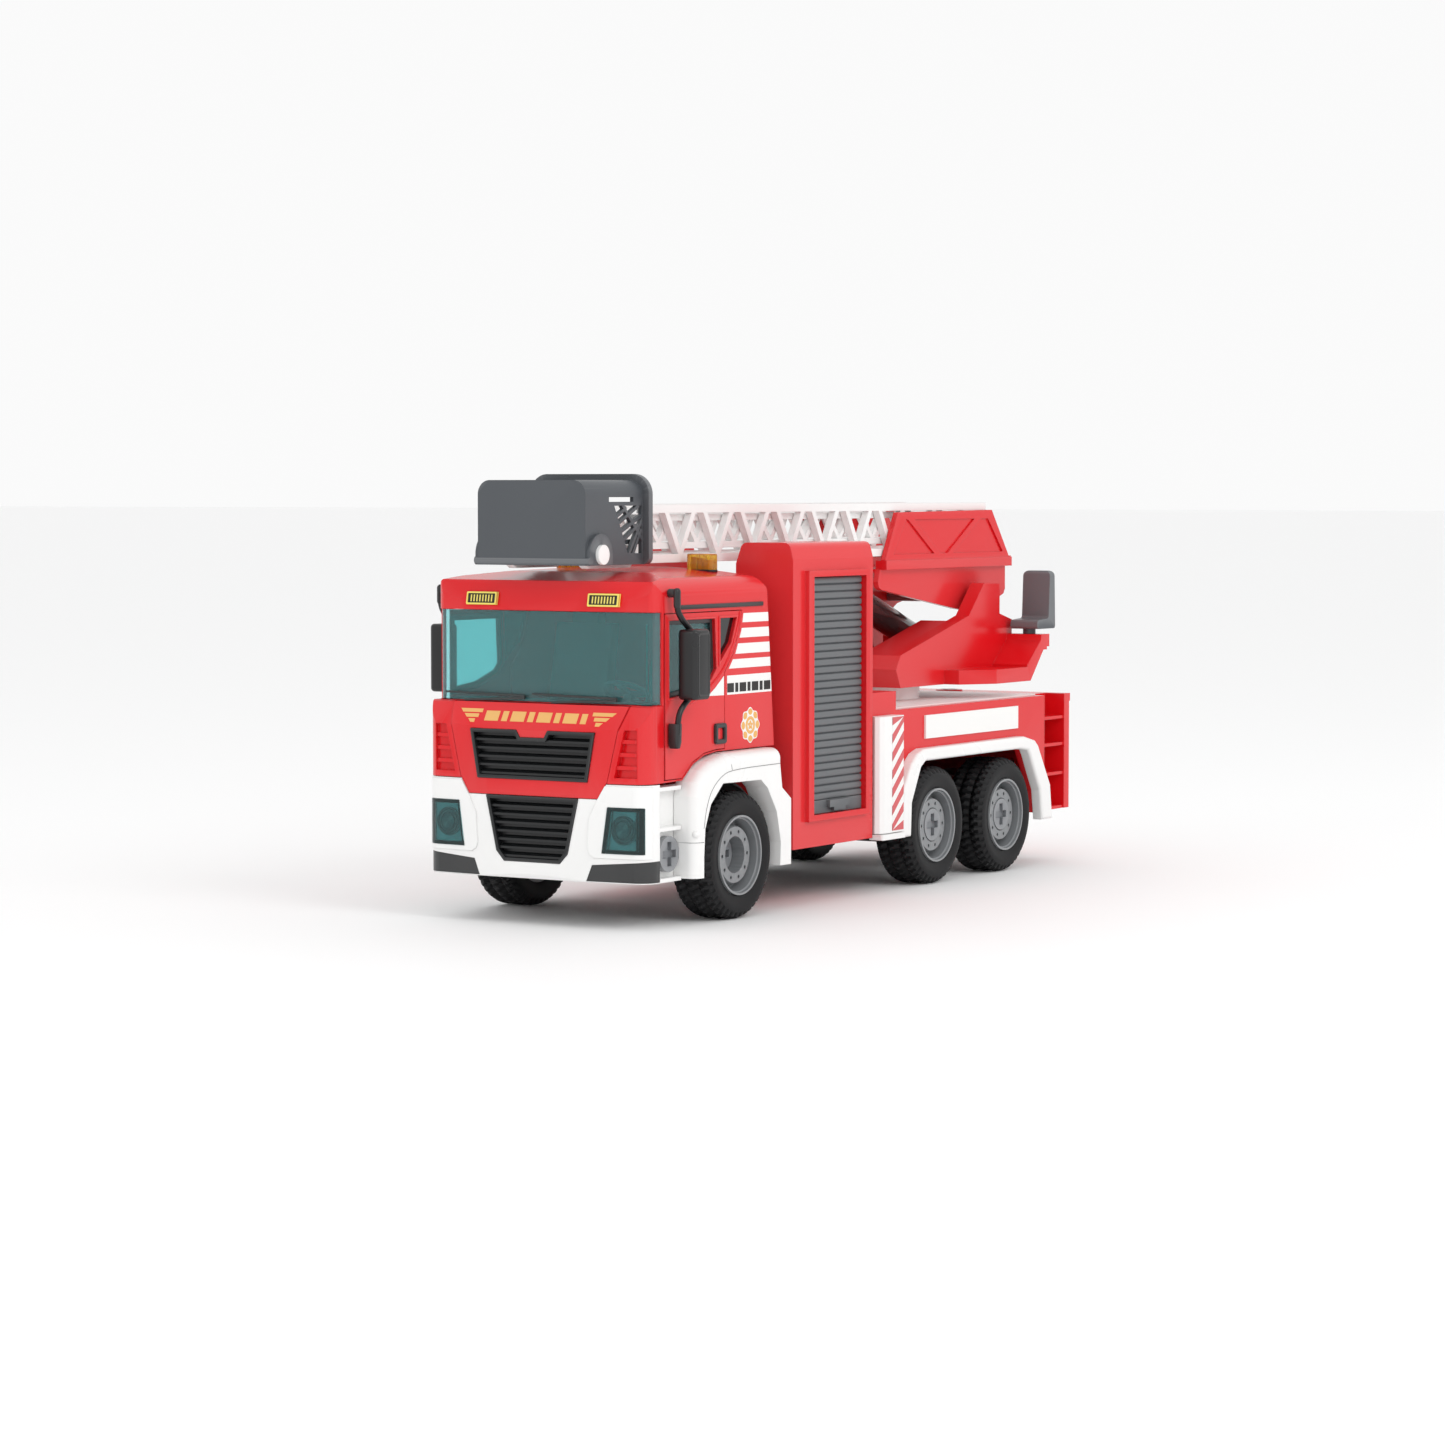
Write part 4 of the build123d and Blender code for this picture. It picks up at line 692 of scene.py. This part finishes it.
def add_mirror_panel(mesh, side):
    """The frame of the mirror's outer panel and the groove in front of it."""
    y0, z0 = MIRROR_LOW.yz
    x1, y1, z1 = MIRROR_HIGH
    panel = rounded_box((y0 + 2.2, z0 + 1.6), (y1 - 0.7, z1 - 1.6), 1.4)
    hole = rounded_box((y0 + 2.9, z0 + 2.3), (y1 - 1.4, z1 - 2.3), 0.9)
    start = x1 - 0.2
    add_ring(mesh, on_side(side, start, panel), on_side(side, start, hole), (side * 0.29, 0, 0))
    dark_line_path = [(side * start, y0 + 1.7, z) for z in (z0 + 1.5, z1 - 1.5)]
    add_rod(mesh, dark_line_path, (0.25, 0.25), sides=8)


def add_mirror_arms(mesh, side):
    add_rod(mesh, smooth_line([(side * x, y, z) for x, y, z in HOOD]), (1.35, 1.35))
    add_rod(mesh, [(side * x, y, z) for x, y, z in HOOD_CAP], (1.45, 1.9))
    add_rod(mesh, smooth_line([(side * x, y, z) for x, y, z in STAY]), (1.3, 1.3))

    def place(u, v, w):
        return (side * (CAB_X + 0.6 + w), u, v)

    add_soft_block(mesh, FOOT, place, 4.6, 0.6, 3)
    add_lathe(mesh, (side * (CAB_X + 0.2), -178.2, 144.2), (side, 0, 0), [(0.0, 1.9), (3.0, 1.9)], 20)


def add_door_handle(mesh, side):
    """A square grip with a raised rim around its hollow."""
    outer = rounded_box((-142.3, 77.5), (-133.0, 86.5), 1.4)
    inner = rounded_box((-140.3, 79.5), (-135.0, 84.5), 0.7)
    start = CAB_X - 0.2
    add_ring(mesh, on_side(side, start, outer), on_side(side, start, inner), (side * 1.2, 0, 0))
    outer = rounded_box((-141.9, 77.9), (-133.4, 86.1), 1.1)
    inner = rounded_box((-140.6, 79.2), (-134.7, 84.8), 0.8)
    start = CAB_X + 0.9
    add_ring(mesh, on_side(side, start, outer), on_side(side, start, inner), (side * 0.45, 0, 0))


def build_mirror(name, side):
    mesh = bmesh.new()
    add_mirror_housing(mesh, side)
    add_mirror_panel(mesh, side)
    add_mirror_arms(mesh, side)
    add_door_handle(mesh, side)
    piece = finish_piece(f"mirror_and_handle_{name}", mesh, "black", f"door_{name}_body")
    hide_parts(f"door_trim_{name}")


for name, side in SIDES.items():
    build_mirror(name, side)


# Front: gold print, headlight reflectors, marker lights and roof beacons

PANEL_LOW, PANEL_HIGH = box_mm("front_panel")
SLOPE_FOOT = Vector((0.0, PANEL_LOW.y, 84.6))
SLOPE_TOP = Vector((0.0, -190.8, PANEL_HIGH.z))
SLOPE_RUN = (SLOPE_TOP - SLOPE_FOOT).normalized()
SLOPE_OUT = Vector((0.0, -SLOPE_RUN.z, SLOPE_RUN.y))


def on_slope(x, z):
    """A point just under the surface of the front panel's slope."""
    rise = (z - SLOPE_FOOT.z) / SLOPE_RUN.z
    return SLOPE_FOOT + SLOPE_RUN * rise - SLOPE_OUT * SINK + Vector((x, 0, 0))


FEATHERS = [(87.2, 31.6, 35.2), (89.3, 30.2, 38.0), (91.4, 28.8, 40.6)]
FRONT_DASH_START = -26.6
FRONT_DASH_Z = (88.0, 92.2)
FRONT_DASH_WIDTHS = (7.2, 3.0, 7.2, 3.0, 7.2, 3.0, 7.2, 3.0)
FRONT_DASH_GAP = 1.75


def build_front_print():
    """Two stacks of three feathers with a row of dashes between them."""
    mesh = bmesh.new()
    shift = SLOPE_OUT * (SINK + PRINT)
    for side in SIDES.values():
        for low, inner, outer in FEATHERS:
            feather = [(inner, low), (outer - 1.6, low), (outer, low + 1.5), (inner, low + 1.5)]
            if side < 0:
                feather.reverse()
            add_prism(mesh, [on_slope(side * x, z) for x, z in feather], shift)
    x = FRONT_DASH_START
    low, high = FRONT_DASH_Z
    for width in FRONT_DASH_WIDTHS:
        dash = [(x, low), (x + width, low), (x + width, high), (x, high)]
        add_prism(mesh, [on_slope(u, z) for u, z in dash], shift)
        x += width + FRONT_DASH_GAP
    finish_piece("print_front", mesh, "gold", "chassis")


LAMP_LOW, LAMP_HIGH = box_mm("headlight_lamps")
LAMP_R = 6.2
TRAY = [(40.4, 51.2), (38.0, 34.9), (52.4, 34.9), (52.4, 51.2)]
LAMP_PROFILE = [
    (0.0, 6.3), (0.9, 6.3), (0.95, 5.9), (0.35, 5.5), (0.35, 4.9), (1.1, 4.7), (1.15, 4.2), (0.5, 3.9),
    (0.5, 3.3), (1.35, 3.2), (1.5, 0.0),
]


def build_headlights():
    """Pale trays behind the lenses, and ringed lamp discs on them."""
    back = bmesh.new()
    rings = bmesh.new()
    for side in SIDES.values():
        rim = [(side * x, -193.95, z) for x, z in TRAY[::side]]
        add_prism(back, rim, (0, -0.35, 0))
        centre = (side * (LAMP_HIGH.x - LAMP_R), -194.3, (LAMP_LOW.z + LAMP_HIGH.z) / 2)
        add_lathe(rings, centre, (0, -1, 0), LAMP_PROFILE, 48)
    finish_piece("headlight_trays", back, "lamp_back", "chassis")
    lamps = finish_piece("headlight_rings", rings, "lamp", "chassis")
    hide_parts("headlight_lamps")


MARKER_LOW, MARKER_HIGH = box_mm("marker_lights")
MARKER_FOOT = Vector((0.0, MARKER_LOW.y, MARKER_LOW.z))
MARKER_RUN = Vector((0.0, 1.0, 5.6)).normalized()
MARKER_OUT = Vector((0.0, -MARKER_RUN.z, MARKER_RUN.y))
MARKER_X = (MARKER_HIGH.x - 15.8, MARKER_HIGH.x)
MARKER_BARS = 8


def on_marker(x, rise, out):
    """A point over the leaning marker lights: across, up their face, and out of it."""
    return MARKER_FOOT + MARKER_RUN * rise + MARKER_OUT * out + Vector((x, 0, 0))


def build_markers():
    """Yellow frames and bars in front of black lamp faces."""
    yellow = bmesh.new()
    black = bmesh.new()
    for side in SIDES.values():
        left, right = sorted(side * x for x in MARKER_X)
        outer = rounded_box((left, 0.05), (right, 5.65), 0.5, 2)
        inner = rounded_box((left + 0.7, 0.75), (right - 0.7, 4.95), 0.3, 2)
        rim, hole = [[on_marker(u, v, -0.2) for u, v in line] for line in (outer, inner)]
        add_ring(yellow, rim, hole, MARKER_OUT * 0.7)
        add_prism(black, [on_marker(u, v, -0.1) for u, v in inner], MARKER_OUT * 0.3)
        pitch = (right - left - 3.4) / MARKER_BARS
        for k in range(MARKER_BARS):
            u = left + 1.7 + (k + 0.5) * pitch
            bar = [(u - 0.3, 1.35), (u + 0.3, 1.35), (u + 0.3, 4.35), (u - 0.3, 4.35)]
            add_prism(yellow, [on_marker(a, b, 0.1) for a, b in bar], MARKER_OUT * 0.3)
    finish_piece("marker_frames", yellow, "yellow", "chassis")
    finish_piece("marker_faces", black, "print_and_painted_shade_black", "chassis")


BEACON_LOW, BEACON_HIGH = box_mm("roof_beacons")
BEACON_X = (BEACON_HIGH.x - 14.0, BEACON_HIGH.x)
BEACON_Y = (BEACON_LOW.y, BEACON_HIGH.y)
FLUTE_PITCH = 0.45


def build_beacons():
    """Fluted amber covers on dark bases, with a pale reflector inside."""
    cover = bmesh.new()
    base = bmesh.new()
    core = bmesh.new()
    y0, y1 = BEACON_Y
    for side in SIDES.values():
        left, right = sorted(side * x for x in BEACON_X)

        def place(u, v, w):
            return (u, v, BEACON_LOW.z + 0.8 + w)

        outline = rounded_box((left + 0.25, y0 + 0.2), (right - 0.25, y1 - 0.2), 1.7, 5)
        fluted = []
        for i, point in enumerate(outline):
            after = outline[(i + 1) % len(outline)]
            run = (Vector(after) - Vector(point)).length
            parts = max(1, round(run / FLUTE_PITCH))
            fluted += [Vector(point).lerp(Vector(after), k / parts) for k in range(parts)]
        middle = Vector(((left + right) / 2, (y0 + y1) / 2))
        fluted = [p + (p - middle).normalized() * (0.14 if k % 2 else -0.1) for k, p in enumerate(fluted)]
        add_soft_block(cover, fluted, place, 7.3, 0.7, 3)

        def base_place(u, v, w):
            return (u, v, BEACON_LOW.z + w)

        foot = rounded_box((left, y0), (right, y1), 1.8, 4)
        add_soft_block(base, foot, base_place, 1.1, 0.2, 2)
        for k in range(3):
            u = left + 2.6 + k * 3.2
            top = BEACON_HIGH.z - 1.6 - 0.6 * k
            add_box(core, (u, y0 + 1.4, BEACON_LOW.z + 1.4), (u + 2.3, y1 - 1.4, top))
    piece = finish_piece("beacon_covers", cover, "amber", "chassis")
    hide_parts("roof_beacons")
    finish_piece("beacon_bases", base, "black", "chassis")
    finish_piece("beacon_reflectors", core, "amber_core", "chassis")


build_front_print()
build_headlights()
build_markers()
build_beacons()


# Roller shutters: curtains of slats

CURTAIN_LOW, CURTAIN_HIGH = box_mm("shutter_curtain_left")
CURTAIN_Z = (CURTAIN_LOW.z, CURTAIN_HIGH.z)
CURTAIN_Y = (CURTAIN_LOW.y + 0.05, CURTAIN_HIGH.y - 0.05)
SLATS = 30


def build_curtain(name, side):
    """One prism whose outer face is a row of rounded slats, as (distance out, z)."""
    mesh = bmesh.new()
    low, high = CURTAIN_Z
    pitch = (high - low) / SLATS
    y0, y1 = CURTAIN_Y
    slat = [(0.7, 0.05), (1.3, 0.3), (1.6, 0.9), (1.65, 1.7), (1.5, 2.5)]
    slat += [(1.25, pitch - 0.45), (0.7, pitch - 0.3)]
    profile = [(0.05, low)]
    for k in range(SLATS):
        profile += [(out, low + k * pitch + rise) for out, rise in slat]
    profile.append((0.05, high))
    rim = [(side * (CURTAIN_LOW.x + out), y0, z) for out, z in profile]
    add_prism(mesh, rim, (0, y1 - y0, 0))
    curtain = finish_piece(f"shutter_slats_{name}", mesh, "shutter", "chassis")
    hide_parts(f"shutter_curtain_{name}")
    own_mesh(curtain)


for name, side in SIDES.items():
    build_curtain(name, side)


# Outriggers: red and white hazard stripes on the rear half of each post

POST_LOW, POST_HIGH = box_mm("outrigger_left")
POST_X = POST_HIGH.x
HAZARD_Y = (POST_HIGH.y - 11.0, POST_HIGH.y - 0.4)
HAZARD_Z = (POST_LOW.z + 1.0, POST_HIGH.z - 0.6)
BAND_RISE = 9.6
BAND_PITCH = 8.4
HAZARD_SINK = 0.2


def clipped_band(start, width):
    """A band that rises to the rear, cut to the striped panel, as (y, z) points."""
    y0, y1 = HAZARD_Y
    low, high = HAZARD_Z
    ends = start + BAND_RISE
    points = []
    for y, z in ((y0, start), (y1, ends), (y1, ends + width), (y0, start + width)):
        points.append([y, min(max(z, low), high)])
    return points


def build_hazard(name, side):
    """A white panel, with red bands printed over it."""
    start = POST_X - HAZARD_SINK
    body = f"outrigger_{name}_body"
    white = bmesh.new()
    (y0, y1), (low, high) = HAZARD_Y, HAZARD_Z
    panel = [(y0, low), (y1, low), (y1, high), (y0, high)]
    add_prism(white, on_side(side, start, panel), (side * (HAZARD_SINK + PRINT), 0, 0))
    finish_piece(f"hazard_panel_{name}", white, "print_white", body)
    red = bmesh.new()
    z = low - BAND_RISE
    while z < high:
        band = clipped_band(z, BAND_PITCH / 2)
        if band[2][1] - band[1][1] > 0.3 or band[3][1] - band[0][1] > 0.3:
            band[2][1] = max(band[2][1], band[1][1] + 0.05)
            band[3][1] = max(band[3][1], band[0][1] + 0.05)
            add_prism(red, on_side(side, start, band), (side * (HAZARD_SINK + 2 * PRINT), 0, 0))
        z += BAND_PITCH
    finish_piece(f"hazard_bands_{name}", red, "print_red", body)


for name, side in SIDES.items():
    build_hazard(name, side)


# Deck and rear: a plus-head bolt behind the turntable whose cross recess is a painted shade cross, and dark
# surrounds for the tail lights

REAR_TOP_Z = box_mm("deck")[0].z
TAIL_LOW, TAIL_HIGH = box_mm("tail_lights")
TAIL_X = (TAIL_HIGH.x - 10.0, TAIL_HIGH.x)
BOLT_Y = 179.5


def build_deck_bolt():
    head = bmesh.new()
    profile = [(0.0, 6.9), (1.0, 6.9), (1.25, 6.6), (1.3, 0.0)]
    add_lathe(head, (0.0, BOLT_Y, REAR_TOP_Z - 0.2), (0, 0, 1), profile, 40)
    finish_piece("deck_bolt", head, "red", "chassis")
    # The flat black cross is painted shade: it stands for the shadowed cross recess in the bolt's head.
    plus = bmesh.new()
    z = REAR_TOP_Z + 1.05
    for half_x, half_y in ((4.2, 1.1), (1.1, 4.2)):
        add_box(plus, (-half_x, BOLT_Y - half_y, z), (half_x, BOLT_Y + half_y, z + 0.1))
    finish_piece("deck_bolt_recess_shade", plus, "print_and_painted_shade_black", "chassis")


def build_tail_surrounds():
    mesh = bmesh.new()
    start = TAIL_LOW.y - 0.12
    for side in SIDES.values():
        left, right = sorted(side * x for x in TAIL_X)
        rims = []
        for margin, radius in ((1.4, 2.2), (0.1, 1.3)):
            low = (left - margin, TAIL_LOW.z - margin)
            high = (right + margin, TAIL_HIGH.z + margin)
            rims.append([(x, start, z) for x, z in rounded_box(low, high, radius)])
        add_ring(mesh, *rims, (0, 0.8, 0))
    finish_piece("tail_light_surrounds", mesh, "black", "chassis")


build_deck_bolt()
build_tail_surrounds()


# Stage, light and camera, in metres

FLOOR_HALF = 30.0
AZIMUTH = math.radians(31.8)
ELEVATION = math.radians(3.456)
CAMERA_PLACE = (0.9465, -1.568, 0.1885)
FOCAL_LENGTH = 96.31


def add_light(name, place, aim, size, power):
    data = bpy.data.lights.new(name, "AREA")
    data.shape = "RECTANGLE"
    data.size, data.size_y = size
    data.energy = power
    obj = bpy.data.objects.new(name, data)
    obj.location = place
    obj.rotation_mode = "QUATERNION"
    obj.rotation_quaternion = (Vector(aim) - Vector(place)).to_track_quat("-Z", "Y")
    bpy.context.scene.collection.objects.link(obj)


def build_stage():
    floor = bpy.data.meshes.new("floor")
    mesh = bmesh.new()
    corners = [(-FLOOR_HALF, -FLOOR_HALF, 0), (FLOOR_HALF, -FLOOR_HALF, 0)]
    corners += [(FLOOR_HALF, FLOOR_HALF, 0), (-FLOOR_HALF, FLOOR_HALF, 0)]
    mesh.faces.new([mesh.verts.new(p) for p in corners])
    mesh.to_mesh(floor)
    mesh.free()
    white = moulded("floor_white", (0.95, 0.95, 0.95), rough=0.7, edge=0.0, stain=0.0, wear=0.0, bump=0.0)
    floor.materials.append(white)
    obj = bpy.data.objects.new("floor", floor)
    bpy.context.scene.collection.objects.link(obj)
    world = bpy.data.worlds.new("studio")
    bpy.context.scene.world = world
    world.use_nodes = True
    back = world.node_tree.nodes["Background"]
    back.inputs["Color"].default_value = (1.0, 1.0, 1.0, 1.0)
    back.inputs["Strength"].default_value = 0.96
    add_light("key", (1.6, -0.5, 1.2), (0, 0, 0.08), (0.8, 0.8), 8.5)
    add_light("front", (-0.5, -2.0, 0.9), (0, -0.1, 0.1), (0.8, 0.6), 3.0)


build_stage()

back = Vector((
    math.sin(AZIMUTH) * math.cos(ELEVATION), -math.cos(AZIMUTH) * math.cos(ELEVATION), math.sin(ELEVATION),
))
lens = bpy.data.cameras.new("camera")
lens.lens = FOCAL_LENGTH
lens.sensor_width = 36.0
lens.clip_start = 0.05
lens.clip_end = 100.0
camera = bpy.data.objects.new("camera", lens)
camera.location = CAMERA_PLACE
camera.rotation_mode = "QUATERNION"
camera.rotation_quaternion = (-back).to_track_quat("-Z", "Y")
bpy.context.scene.collection.objects.link(camera)
bpy.context.scene.camera = camera

bpy.context.scene.view_settings.view_transform = "Standard"
